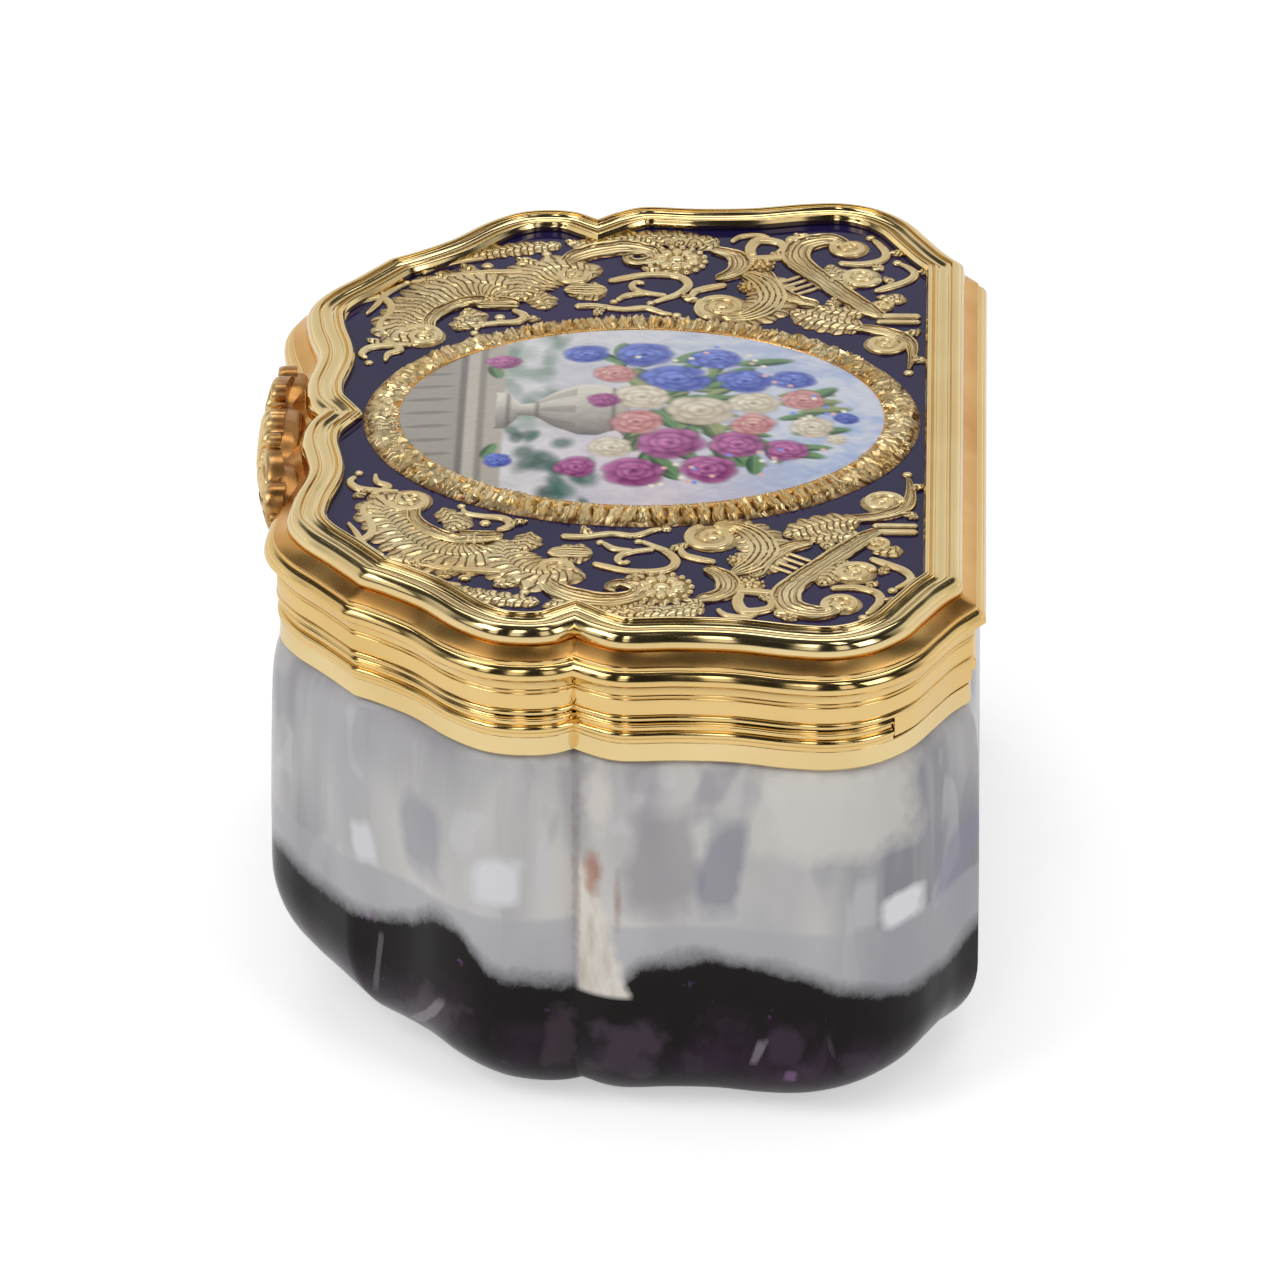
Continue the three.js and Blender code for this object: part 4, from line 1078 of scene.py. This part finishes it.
# Volutes: middle, radius, start in degrees, turns and width of ribbon
SCROLL_CURLS = [
    ((15.2, -19.2), 1.9, -90, 1.4, 0.95), ((32.8, 17.6), 1.6, -30, -1.4, 0.85),
    ((27.3, 18.6), 1.7, 100, 1.4, 0.85), ((14.6, 20.8), 1.7, 80, 1.3, 0.8), ((22.0, 20.5), 1.0, 0, 1.2, 0.5),
    ((27.0, -6.6), 1.5, 60, 1.3, 0.9), ((21.3, 6.6), 2.2, 200, 1.4, 1.0),
]
# Plain bosses and drops: middle, radius and rise
SCROLL_DROPS = [
    ((28.8, -14), 0.55, 0.4), ((29.3, -11), 0.55, 0.4), ((19, -12.6), 0.5, 0.4), ((17.5, -22.4), 0.45, 0.4),
    ((16.6, -22.5), 0.4, 0.4), ((34.4, 12.6), 0.7, 0.55), ((10.2, -23.6), 0.4, 0.35), ((16.0, -14.7), 0.4, 0.35),
    ((35.0, 19.4), 0.45, 0.4), ((30.2, 21.8), 0.45, 0.4), ((25.4, -20.9), 0.4, 0.35), ((31.2, -8.9), 0.45, 0.4),
    ((22.0, 0.4), 0.4, 0.35), ((9.4, 22.9), 0.45, 0.35), ((19.7, 2.7), 0.45, 0.4), ((22.2, -2.8), 0.4, 0.35),
]
# Rosettes: middle, radius and petals
SCROLL_ROSETTES = [
    ((30.2, 2.5), 2.7, 10), ((29.6, 9.8), 1.35, 7), ((22.3, -13.4), 1.0, 6), ((25.2, 8.9), 1.0, 6),
]
# The small ladder: its two ends, and half of a rung
LADDER = np.array([(27.2, 12.0), (24.0, 14.3)])
RUNG = np.array([0.75, 1.05])


def scrollwork():
    """The gilt scrollwork of the right-hand half of the enamel."""
    made = Mesh()
    for kind, rise, route, widths in SCROLL_RIBBONS:
        if kind in ("leaf", "reeded"):
            ground = [width * 1.45 + 0.3 for width in widths]
            lay_ribbon(made, route, ground, "leaf", 0.22, pitch=1.25)
        lay_ribbon(made, route, widths, kind, 0.14 + rise * 0.34)
    for root, tip, width in SCROLL_LEAFLETS:
        leaflet(made, root, tip, width)
    for centre, radius, start, turns, width in SCROLL_CURLS:
        lay_dome(made, centre, radius * 1.1, 0.18)
        curl(made, centre, radius, start, turns, width, 0.36)
    for centre, radius, rise in SCROLL_DROPS:
        lay_dome(made, centre, radius, rise * 0.7)
    for centre, radius, petals in SCROLL_ROSETTES:
        rosette(made, centre, radius, petals)
    for share in np.linspace(0.16, 0.84, 4):
        middle = LADDER[0] * (1 - share) + LADDER[1] * share
        lay_ribbon(made, [middle - RUNG, middle + RUNG], [0.36, 0.36], "round", 0.22)
    return made


# Oval picture, its bezel and its leaf border


def oval(grow, height, count=288):
    """A ring round the picture's edge, moved out by a distance."""
    turn = np.linspace(0, 2 * math.pi, count, endpoint=False)
    edge = np.column_stack([PLAQUE_HALF_X * np.cos(turn), PLAQUE_HALF_Y * np.sin(turn)])
    normal = np.column_stack([PLAQUE_HALF_Y * np.cos(turn), PLAQUE_HALF_X * np.sin(turn)])
    normal /= np.linalg.norm(normal, axis=1)[:, None]
    ring = edge + normal * grow + (0, OVAL_Y)
    return np.column_stack([ring, np.full(count, height)])


def plaque_bezel():
    """A low ring that holds the picture, mostly under the leaves."""
    base = ENAMEL_TOP
    section = [
        (-0.12, base - 0.05), (0.55, base - 0.05), (0.55, base + 0.35),
        *arc((0.36, base + 0.38), 0.17, 0, 110, 6),
        *arc((0.06, base + 0.40), 0.14, 60, 170, 6), (-0.12, base + 0.36),
    ]
    return net([oval(*spot) for spot in section], wrap_rows=True, wrap_columns=True)


# One crumpled leaf of the border: place round the oval as shares of its pitch, and height
LEAF_FOLD = [(0.0, 0.0), (0.10, 0.40), (0.25, 0.96), (0.42, 0.60), (0.60, 1.0), (0.82, 0.48)]
# The border from its outer edge inwards: distance from the picture's edge and height in millimetres
LEAF_CREST = [
    (3.00, 0.05), (2.78, 0.30), (2.42, 0.68), (2.05, 0.82), (1.60, 0.98), (1.15, 0.84), (0.70, 0.96),
    (0.25, 0.80), (-0.08, 0.62),
]
LEAF_COUNT = 98
LEAF_STEPS = 40
# How deep the edge is notched between leaves, outside and inside, and how far points stray in height
OUTER_NOTCH = 0.40
INNER_NOTCH = 0.24
LEAF_CRUMPLE = 0.15
# How strongly the leaves' engraved lines show, painted dark as shade
LEAF_CHASING = 0.4


def leaf_border():
    """The wreath of small crumpled leaves, as one band of deep folds that lean and twist."""
    ring = oval(0, 0, LEAF_COUNT * LEAF_STEPS)[:, :2]
    along = lengths(np.vstack([ring, ring[:1]]))
    pitch = along[-1] / LEAF_COUNT
    inmost = len(LEAF_CREST) - 1
    rows = []
    marks = []
    for k in range(LEAF_COUNT):
        lean = rng.uniform(-0.30, 0.30)
        tall = rng.uniform(0.82, 1.0)
        wild = [rng.uniform(-0.13, 0.13) for _ in LEAF_CREST]
        tips = rng.uniform(-0.16, 0.10)
        for place, height in LEAF_FOLD:
            row = []
            for step, ((out, crest), shift) in enumerate(zip(LEAF_CREST, wild)):
                sway = lean * (0.5 - step / inmost) * 2 + shift * (height > 0.3)
                at = (k + place) * pitch + sway * pitch
                i = int(np.searchsorted(along, at % along[-1])) % len(ring)
                ahead = ring[(i + 1) % len(ring)] - ring[i - 1]
                ahead /= np.linalg.norm(ahead)
                reach = out
                if step in (1, 2):
                    reach += tips - (1 - height) * OUTER_NOTCH
                elif step == inmost:
                    reach += (1 - height) * INNER_NOTCH
                spot = ring[i] + np.array([ahead[1], -ahead[0]]) * reach
                fold = 0.14 + 0.86 * height if step > 0 else 1.0
                crumple = LEAF_CRUMPLE * rng.uniform(-1, 1) * (0 < step < inmost)
                row.append((*spot, ENAMEL_TOP + crest * tall * fold + crumple))
            row += [(x, y, ENAMEL_TOP - 0.06) for x, y, _ in (row[inmost], row[0])]
            rows.append(row)
            marks += [(place, 0.0, LEAF_CHASING)] * len(row)
    return net(rows, wrap_rows=True, wrap_columns=True, marks=marks)


# Painting on the plaque


def linear(red, green, blue):
    return np.array([(value / 255) ** 2.2 for value in (red, green, blue)])


# Colours of the leaves and flowers, each in light and in shade
GREEN = linear(120, 158, 110), linear(44, 84, 62)
OLIVE = linear(160, 170, 120), linear(70, 96, 66)
BLUE = linear(128, 150, 232), linear(28, 44, 150)
PLUM = linear(214, 130, 186), linear(112, 20, 92)
CREAM = linear(250, 242, 220), linear(188, 168, 142)
ROSE = linear(240, 190, 182), linear(176, 88, 96)
# Flowers from back to front: place across and up, size and colours
FLOWERS = [
    (-0.66, 0.00, 0.16, BLUE), (-0.62, 0.30, 0.15, BLUE), (-0.40, 0.62, 0.12, BLUE), (-0.66, -0.24, 0.12, BLUE),
    (0.66, -0.02, 0.16, PLUM), (0.62, 0.28, 0.15, PLUM), (0.40, 0.60, 0.12, PLUM), (0.62, -0.26, 0.11, PLUM),
    (-0.16, 0.66, 0.12, ROSE), (0.14, 0.70, 0.12, CREAM), (-0.36, 0.42, 0.15, BLUE), (0.36, 0.40, 0.15, PLUM),
    (-0.36, 0.14, 0.18, BLUE), (0.36, 0.12, 0.18, PLUM), (-0.10, 0.46, 0.14, CREAM), (0.14, 0.46, 0.12, ROSE),
    (-0.14, 0.00, 0.15, CREAM), (0.14, -0.02, 0.14, ROSE), (0.0, 0.24, 0.18, CREAM), (-0.42, -0.12, 0.12, ROSE),
    (0.42, -0.12, 0.12, CREAM), (0.02, 0.84, 0.07, BLUE), (-0.10, -0.16, 0.09, PLUM), (0.26, 0.80, 0.06, CREAM),
]
# Rings of a flower's petals from the outside in: reach, number and width
PETALS = [(0.62, 7, 0.50), (0.36, 5, 0.40), (0.14, 3, 0.30)]
# The urn from foot to lip: height and half width
URN = [
    (-0.60, 0.21), (-0.56, 0.21), (-0.53, 0.15), (-0.50, 0.07), (-0.44, 0.08), (-0.36, 0.20), (-0.26, 0.29),
    (-0.18, 0.30), (-0.13, 0.26), (-0.10, 0.24), (-0.07, 0.31),
]
# The front of the ledge from the top down: height, softness and tone of each band
LEDGE = [
    (-0.56, 0.015, (186, 178, 166)), (-0.64, 0.012, (150, 144, 134)), (-0.67, 0.012, (196, 188, 176)),
    (-0.72, 0.012, (128, 122, 116)), (-0.75, 0.012, (168, 162, 152)),
]


class Painting:
    """A small flower piece, painted with soft strokes on points across and up the picture."""

    def __init__(self, across, up):
        self.across, self.up = across, up
        self.colour = np.zeros((len(across), 3))
        self.grain = sum(
            np.sin(f * across + 1.7 * np.sin(g * up + f) + f * 2) * np.sin(g * up - 1.3 * np.sin(f * across))
            for f, g in ((5.1, 7.3), (11.3, 9.7), (23.9, 19.1), (41.0, 37.0))
        ) / 4

    def lay(self, mask, colour):
        mask = np.clip(mask, 0, 1)[:, None]
        self.colour = self.colour * (1 - mask) + np.asarray(colour) * mask

    def ellipse(self, a, b, half_a, half_b, turn=0.0, soft=0.18):
        """A soft mask of an ellipse, and the place inside it."""
        c, s = math.cos(turn), math.sin(turn)
        u = ((self.across - a) * c + (self.up - b) * s) / half_a
        v = (-(self.across - a) * s + (self.up - b) * c) / half_b
        far = np.sqrt(u * u + v * v)
        return np.clip((1 - far) / soft, 0, 1), u, v

    def flower(self, a, b, size, light, dark):
        spin = rng.uniform(0, 6.28)
        lean = rng.uniform(-0.25, 0.25)
        for layer, (reach, count, wide) in enumerate(PETALS):
            for k in range(count):
                angle = spin + layer * 0.7 + k * 2 * math.pi / count + rng.uniform(-0.15, 0.15)
                far = size * reach * rng.uniform(0.85, 1.12)
                centre = (a + far * math.cos(angle), b + 0.78 * far * math.sin(angle))
                grow = size * wide * rng.uniform(0.85, 1.15)
                turn = angle + 1.57 + lean
                shadow, _, _ = self.ellipse(*centre, grow * 1.02, grow * 0.80, turn, 0.30)
                self.lay(shadow * 0.5, dark * 0.75)
                mask, _, v = self.ellipse(*centre, grow * 0.92, grow * 0.66, turn, 0.45)
                lit = 0.52 - 0.34 * v + 0.20 * math.cos(angle + 2.4) + 0.14 * (layer - 1) + 0.35 * self.grain
                tone = np.clip(lit, 0, 1)[:, None]
                self.lay(mask, dark * (1 - tone) + light * tone)
        heart, _, _ = self.ellipse(a, b, size * 0.16, size * 0.12, 0, 0.8)
        self.lay(heart * 0.7, dark * 0.7)

    def leaf(self, a, b, size, angle, light, dark):
        mask, _, v = self.ellipse(a, b, size, size * 0.36, angle, 0.25)
        tone = np.clip(0.5 + 0.8 * v + 0.3 * self.grain, 0, 1)[:, None]
        self.lay(mask, dark * (1 - tone) + light * tone)
        self.lay(mask * np.exp(-((v / 0.10) ** 2)) * 0.6, light * 1.2)


def paint_sky(art):
    """A pale sky with soft clouds, warmer low on the right."""
    sky = np.clip((art.up + 0.75) / 1.6, 0, 1)[:, None]
    art.colour = linear(214, 210, 206) * (1 - sky) + linear(172, 190, 226) * sky
    cloud = np.clip(0.35 + 1.4 * art.grain + 0.3 * np.sin(4 * art.across + 3 * art.up), 0, 1)
    art.lay(cloud * 0.6, linear(236, 234, 234))
    warm = np.clip(1 - np.abs(art.up + 0.10 - 0.2 * art.across) * 1.5, 0, 1)
    art.lay(warm * np.clip(art.across * 0.8 + 0.5, 0, 1) * 0.5, linear(232, 208, 214))


def paint_trees(art):
    """Far trees low on both sides, darker and nearer on the right."""
    for _ in range(60):
        a = rng.uniform(-1, 1)
        b = -0.50 + 0.20 * max(0.0, a) + rng.uniform(-0.10, 0.16)
        green = linear(52, 96, 84) if a > 0.2 else linear(120, 146, 128)
        green = green * rng.uniform(0.7, 1.5)
        half_a, half_b = rng.uniform(0.06, 0.16), rng.uniform(0.03, 0.08)
        mask, _, _ = art.ellipse(a, b, half_a, half_b, rng.uniform(-0.5, 0.5), 0.6)
        art.lay(mask * (0.75 if a > 0.2 else 0.45), green)


def paint_ledge(art):
    """A stone ledge with a moulded and fluted front."""
    for level, soft, tone in LEDGE:
        art.lay((level - art.up) / soft, linear(*tone))
    for place in np.linspace(-0.9, 0.9, 13):
        mask, _, _ = art.ellipse(place, -0.88, 0.022, 0.115, 0, 0.3)
        art.lay(mask * 0.6, linear(120, 114, 108))


def paint_urn(art):
    """A turned stone urn, lit from the left."""
    half = np.interp(art.up, *zip(*URN))
    inside = np.clip((half - np.abs(art.across)) / 0.015, 0, 1) * (art.up > -0.60) * (art.up < -0.05)
    shade = np.clip(0.58 - 0.55 * art.across / np.maximum(half, 0.01) + 0.12 * art.grain, 0, 1)[:, None]
    art.lay(inside, linear(112, 106, 102) * (1 - shade) + linear(228, 222, 208) * shade)
    for line in (-0.115, -0.43, -0.55):
        art.lay(inside * np.exp(-(((art.up - line) / 0.010) ** 2)) * 0.7, linear(96, 90, 86))
    flutes = np.clip(np.cos(art.across / np.maximum(half, 0.05) * 9) * 2, 0, 1)
    art.lay(inside * flutes * (art.up < -0.27) * (art.up > -0.42) * 0.4, linear(120, 114, 108))


def paint_leaves(art):
    """Leaves behind the flowers, spread like a fan above the urn."""
    for k in range(90):
        angle = rng.uniform(-0.35, math.pi + 0.35)
        reach = rng.uniform(0.10, 0.72)
        a, b = 1.08 * reach * math.cos(angle), 0.06 + 0.98 * reach * math.sin(angle)
        size = rng.uniform(0.08, 0.15)
        art.leaf(a, b, size, angle + rng.uniform(-0.7, 0.7), *(GREEN if k % 3 else OLIVE))


def paint_flowers(art):
    """The bunch, small blossoms round it, and two loose blooms on the ledge."""
    for a, b, size, colours in FLOWERS:
        art.flower(a, b, size, *colours)
    for k in range(46):
        angle = rng.uniform(-0.2, math.pi + 0.2)
        reach = rng.uniform(0.55, 0.80)
        a, b = 1.02 * reach * math.cos(angle), 0.08 + 0.98 * reach * math.sin(angle)
        mask, _, _ = art.ellipse(a, b, 0.022, 0.017, 0, 0.6)
        art.lay(mask, (CREAM, ROSE, BLUE)[k % 3][0])
    art.leaf(-0.46, -0.61, 0.10, 0.2, *GREEN)
    art.flower(-0.58, -0.58, 0.09, *PLUM)
    art.leaf(0.44, -0.62, 0.09, -0.3, *GREEN)
    art.flower(0.54, -0.58, 0.08, *BLUE)


def still_life(across, up):
    """A stone urn of flowers on a ledge against a pale sky."""
    art = Painting(across, up)
    for paint in (paint_sky, paint_trees, paint_ledge, paint_urn, paint_leaves, paint_flowers):
        paint(art)
    return art.colour


# Points along each side of the picture's net
PICTURE_NET = 260


def picture():
    """The domed plaque: a square net drawn out to an oval, with the painting on its points."""
    n = PICTURE_NET
    s = np.linspace(-1, 1, n)
    u, v = np.meshgrid(s, s)
    x = u * np.sqrt(1 - v * v / 2)
    y = v * np.sqrt(1 - u * u / 2)
    far = np.clip(x * x + y * y, 0, 1)
    z = ENAMEL_TOP + PLAQUE_EDGE + PLAQUE_CROWN * (1 - far)
    points = np.stack([x * PLAQUE_HALF_X, y * PLAQUE_HALF_Y + OVAL_Y, z], axis=-1)
    made = net(points)
    edge = [(0, c) for c in range(n)] + [(r, n - 1) for r in range(1, n)]
    edge += [(n - 1, c) for c in range(n - 2, -1, -1)] + [(r, 0) for r in range(n - 2, 0, -1)]
    loop = [r * n + c for r, c in edge]
    foot = len(made.points)
    for r, c in edge:
        made.points.append((points[r, c, 0], points[r, c, 1], ENAMEL_TOP - 0.05))
    for k in range(len(loop)):
        m = (k + 1) % len(loop)
        made.faces.append((loop[m], loop[k], foot + k, foot + m))
    made.faces.append(tuple(range(foot, foot + len(loop))))
    colours = np.ones((len(made.points), 4))
    colours[: n * n, :3] = np.clip(still_life(x.ravel(), y.ravel()), 0, 1)
    plaque = piece("picture_plaque_fine", made, "lid", PAINT, ["picture_plaque"])
    layer = plaque.data.color_attributes.new("paint", "FLOAT_COLOR", "POINT")
    layer.data.foreach_set("color", colours.ravel())


def top_ornament():
    right = scrollwork()
    piece("scroll_mount_right_fine", right, "lid", SCROLL_GOLD, ["scroll_mount_right"], 50)
    piece("scroll_mount_left_fine", right.mirrored(), "lid", SCROLL_GOLD, ["scroll_mount_left"], 50)
    piece("leaf_border_fine", leaf_border(), "lid", BORDER_GOLD, ["leaf_border"], 18)
    piece("plaque_bezel_fine", plaque_bezel(), "lid", HOLLOW_GOLD, ["plaque_bezel"])
    picture()


# Thumbpiece on the front


def front_line(offset):
    """The front of the outline at an offset, as rising places along X and their Y."""
    ring = outline.ring(offset)
    near = ring[(ring[:, 1] < -20) & (np.abs(ring[:, 0]) < 20)]
    near = near[np.argsort(near[:, 0])]
    return near[:, 0], near[:, 1]


FRONT_X, FRONT_Y = front_line(OVOLO_OUTER)
# How far the thumbpiece may stand out: just inside the frame's own piece
THUMB_LIMIT = FRONT_Y.min() - low("thumbpiece").y - 0.01
# Half of the front's notch that it bridges
NOTCH_HALF = 3.2


def on_front(x, height, lift):
    """A point in front of the lid's widest moulding; the middle bridges the notch there."""
    bridged = np.maximum(np.abs(x), NOTCH_HALF)
    y = np.interp(bridged, FRONT_X, FRONT_Y)
    return np.stack([x, y - lift, height], axis=-1)


def thumb_swell(x, height):
    """How far the piece swells outward behind its scrolls."""
    middle = np.clip(1 - ((height - 41.6) / 3.4) ** 2, 0, 1)
    return 0.30 + 0.75 * middle * np.clip(1 - (x / 13.5) ** 2, 0, 1)


def thumb_ribbon(made, route, widths, kind, rise):
    """Lays a ribbon on the thumbpiece's swelling face as a closed body."""
    place, height = ribbon_rows(route, widths, kind, rise, step=0.3, pitch=1.2)
    x, z = place[:, :, 0], place[:, :, 1]
    top = on_front(x, z, np.minimum(thumb_swell(x, z) + height, THUMB_LIMIT))
    under = on_front(x[:, [-1, 0]], z[:, [-1, 0]], np.full((len(x), 2), -0.35))
    made.grid(np.concatenate([top, under], axis=1), wrap_columns=True, cap=True)


# Lower and upper edge of the thumbpiece's ground: X and height of its right half
THUMB_FOOT = [(0, 39.1), (3.5, 39.3), (6, 39.0), (9, 39.4), (11, 40.4), (12.3, 42.0)]
THUMB_CREST = [(0, 44.6), (2.5, 44.3), (5, 43.4), (8, 44.0), (11, 43.4), (12.3, 42.6)]


def thumb_plate():
    """The cast ground of the thumbpiece, from its lower edge to its upper edge."""
    end = THUMB_CREST[-1][0]
    xs = np.linspace(-end, end, 83)
    foot, crest = np.array(THUMB_FOOT), spline(THUMB_CREST)
    lower = np.interp(np.abs(xs), foot[:, 0], foot[:, 1])
    upper = np.interp(np.abs(xs), crest[:, 0], crest[:, 1])
    roll = np.radians([20, 40, 60, 80, 90])
    edge = np.sqrt(1 - np.linspace(-1, 1, 15) ** 4)
    rows = []
    for x, z0, z1 in zip(xs, lower, upper):
        heights = np.linspace(z0, z1, len(edge))
        across = np.full(len(edge), x)
        face = on_front(across, heights, thumb_swell(across, heights) * edge)
        past_crest = np.append(z1 - 0.5 * (1 - np.cos(roll)), z0)
        back = on_front(across[:len(past_crest)], past_crest, np.append(-1.75 * np.sin(roll), -1.0))
        rows.append(np.concatenate([face, back]))
    return net(rows, wrap_columns=True, cap=True)


# Ribbons of the thumbpiece's right half, in X and height
THUMB_RIBBONS = [
    ("channel", 0.80, [(4.6, 40.2), (6.4, 39.3), (8.6, 39.5), (10.4, 40.5), (11.6, 41.9), (11.3, 43.2),
                       (10.2, 43.4), (9.8, 42.7)], [1.5, 1.9, 2.0, 1.8, 1.6, 1.3, 1.0, 0.7]),
    ("channel", 0.70, [(4.2, 43.2), (5.8, 44.1), (7.6, 44.0), (8.9, 43.1), (8.5, 42.3)],
     [1.1, 1.5, 1.5, 1.2, 0.7]),
    ("leaf", 0.75, [(4.6, 41.6), (6.6, 41.8), (8.6, 41.2)], [2.2, 2.6, 1.2]),
    ("leaf", 0.60, [(6.4, 39.7), (6.2, 38.9), (5.5, 38.3)], [1.4, 1.3, 0.4]),
    ("leaf", 0.60, [(8.6, 39.7), (8.8, 38.9), (8.2, 38.3)], [1.4, 1.3, 0.4]),
    ("leaf", 0.60, [(10.4, 40.6), (11.2, 39.9), (11.5, 39.1)], [1.3, 1.2, 0.4]),
    ("leaf", 0.55, [(11.6, 42.0), (12.3, 41.6), (12.6, 40.9)], [1.1, 1.0, 0.4]),
    ("round", 0.60, [(3.6, 44.6), (4.6, 45.2), (5.6, 45.0)], [0.6, 0.9, 0.5]),
]

# Height of the point from which the shell's ribs spread
SHELL_FOOT = 39.2


def thumbpiece():
    """A cast shell between scrolls, with leaf tips along its lower edge."""
    made = thumb_plate()
    half = Mesh()
    for kind, rise, route, widths in THUMB_RIBBONS:
        thumb_ribbon(half, route, widths, kind, rise)
    for side in (half, half.mirrored()):
        made.add(side.points, side.faces)
    for turn in np.linspace(-64, 64, 7):
        way = np.array([math.sin(math.radians(turn)), math.cos(math.radians(turn))])
        root = (0, SHELL_FOOT) + way * (0.9, 0.6)
        tip = (0, SHELL_FOOT) + way * (5.9 - 1.5 * (turn / 66) ** 2)
        thumb_ribbon(made, [root, (root + tip) / 2, tip], [0.6, 1.5, 2.3], "round", 0.95)
    thumb_ribbon(made, [(-1.1, 39.3), (0, 38.9), (1.1, 39.3)], [1.2, 1.7, 1.2], "round", 1.0)
    piece("thumbpiece_fine", made, "lid", THUMB_GOLD, ["thumbpiece"], 50)


piece("stone_bowl_fine", stone_bowl(), "base", STONE, ["stone_bowl"])
mouldings()
top_ornament()
thumbpiece()
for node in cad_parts:
    golden = "knuckle" in node or node.startswith("hinge_") or node == "lid_inner_plate"
    if golden or node == "enamel_panel":
        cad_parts[node].data.materials.clear()
        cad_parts[node].data.materials.append(GOLD if golden else ENAMEL)


# Floor, light and camera


def mirrored(nodes):
    """One for rays that come by way of a reflection or through glass."""
    return nodes.larger(nodes.rays("Glossy"), nodes.rays("Transmission"))


def studio_floor():
    """A pale floor that keeps the shadow, and glows for the camera and a little in reflections."""
    half = 3.0
    mesh = bpy.data.meshes.new("studio_floor")
    corners = [(-half, -half, 0), (half, -half, 0), (half, half, 0), (-half, half, 0)]
    mesh.from_pydata(corners, [], [(0, 1, 2, 3)])
    floor = bpy.data.objects.new("studio_floor", mesh)
    scene.collection.objects.link(floor)
    nodes = Finish("studio_floor")
    nodes.set(
        Base_Color=nodes.ramp(nodes.noise(30, detail=2), (0.3, 0.86), (0.7, 0.88)),
        Roughness=0.9,
        Specular_IOR_Level=0.0,
        Emission_Color=(1.0, 1.0, 1.0),
        Emission_Strength=nodes.rays("Camera") * 0.50 + mirrored(nodes) * 0.18,
    )
    mesh.materials.append(nodes.material)


# The tent of light by height above the horizon, on the camera's side and on the far side
NEAR_BELT = [(0.0, 0.9), (0.02, 0.9), (0.05, 0.03), (0.55, 0.012), (0.90, 0.02), (1.0, 0.06)]
FAR_BELT = [
    (0.0, 1.0), (0.10, 0.95), (0.22, 0.82), (0.52, 0.74), (0.60, 0.06), (0.80, 0.04), (0.86, 0.9), (0.93, 0.9),
    (0.96, 0.05), (1.0, 0.06),
]
# Upright strips of light on the camera's side: bearing of the middle and half width in degrees
STRIPS = [(-70, 9), (-43, 6), (-10, 4), (25, 6), (61, 9)]
STRIP_EDGE = 2


def studio_world():
    """A pale tent of light that shows in metal; other rays meet soft grey, and the camera white."""
    world = bpy.data.worlds.new("studio")
    world.use_nodes = True
    world.node_tree.nodes.clear()
    scene.world = world
    nodes = Nodes(world, "Generated")
    x, _, z = nodes.place()

    stops = []
    for middle, half in STRIPS:
        edges = (-half - STRIP_EDGE, 0.0), (-half, 0.9), (half, 0.9), (half + STRIP_EDGE, 0.0)
        stops += [((middle + edge) / 360 + 0.5, grey) for edge, grey in edges]
    upright = nodes.ramp(nodes.bearing(), *stops)
    reach = nodes.ramp(z, (0.14, 0.0), (0.20, 1.0), (0.60, 1.0), (0.68, 0.0))
    strips = nodes.mix(1.0, upright, reach, "MULTIPLY")
    near = nodes.mix(1.0, nodes.ramp(z, *NEAR_BELT), strips, "LIGHTEN")
    side = nodes.made("ShaderNodeMapRange", "Result", Value=x, From_Min=-0.25, From_Max=0.15)
    tent = nodes.mix(side, nodes.ramp(z, *FAR_BELT), near)

    soft, seen, white = (
        nodes.made("ShaderNodeBackground", "Background", Color=colour)
        for colour in ((0.42, 0.42, 0.43), tent, (1.0, 1.0, 1.0))
    )
    shown = soft
    for test, light in ((mirrored(nodes), seen), (nodes.rays("Camera"), white)):
        choose = nodes.new("ShaderNodeMixShader")
        for target, value in zip(choose.inputs, (test, shown, light)):
            nodes.feed(target, value)
        shown = choose.outputs[0]
    nodes.feed(nodes.new("ShaderNodeOutputWorld").inputs["Surface"], shown)


def lamp(name, place, target, size, glow):
    """A rectangular softbox of even brightness."""
    data = bpy.data.lights.new(name, "AREA")
    data.shape = "RECTANGLE"
    data.size, data.size_y = size
    data.energy = glow * math.pi * size[0] * size[1]
    made = bpy.data.objects.new(name, data)
    made.location = place
    made.rotation_mode = "QUATERNION"
    made.rotation_quaternion = (Vector(target) - Vector(place)).to_track_quat("-Z", "Y")
    scene.collection.objects.link(made)


def lights():
    middle = (0, 0, 0.02)
    lamp("key", (0.35, -0.55, 0.62), middle, (0.42, 0.42), 3.2)
    lamp("fill", (0.45, 0.60, 0.42), middle, (0.30, 0.42), 2.2)
    lamp("back", (-0.42, 0.0, 0.80), middle, (0.80, 0.25), 2.4)
    lamp("slit", (0.62, -0.10, 0.66), middle, (0.10, 0.30), 3.0)
    lamp("top_slit", (0.34, 0.22, 0.85), middle, (0.12, 0.30), 3.0)


def camera():
    """The photograph's view: from the right-hand end, at its elevation and distance."""
    elevation = math.radians(28.5)
    turn = math.radians(1.35)
    distance = 1.181
    target = Vector((0, 0, 0.02354))
    level = math.cos(elevation)
    back = Vector((math.cos(turn) * level, math.sin(turn) * level, math.sin(elevation)))
    data = bpy.data.cameras.new("camera")
    data.sensor_width = 36.0
    data.lens = 385.3
    data.clip_start = 0.05
    made = bpy.data.objects.new("camera", data)
    made.location = target + back * distance
    made.rotation_mode = "QUATERNION"
    made.rotation_quaternion = (-back).to_track_quat("-Z", "Y")
    scene.collection.objects.link(made)
    scene.camera = made


studio_floor()
studio_world()
lights()
camera()
scene.view_settings.view_transform = "Standard"
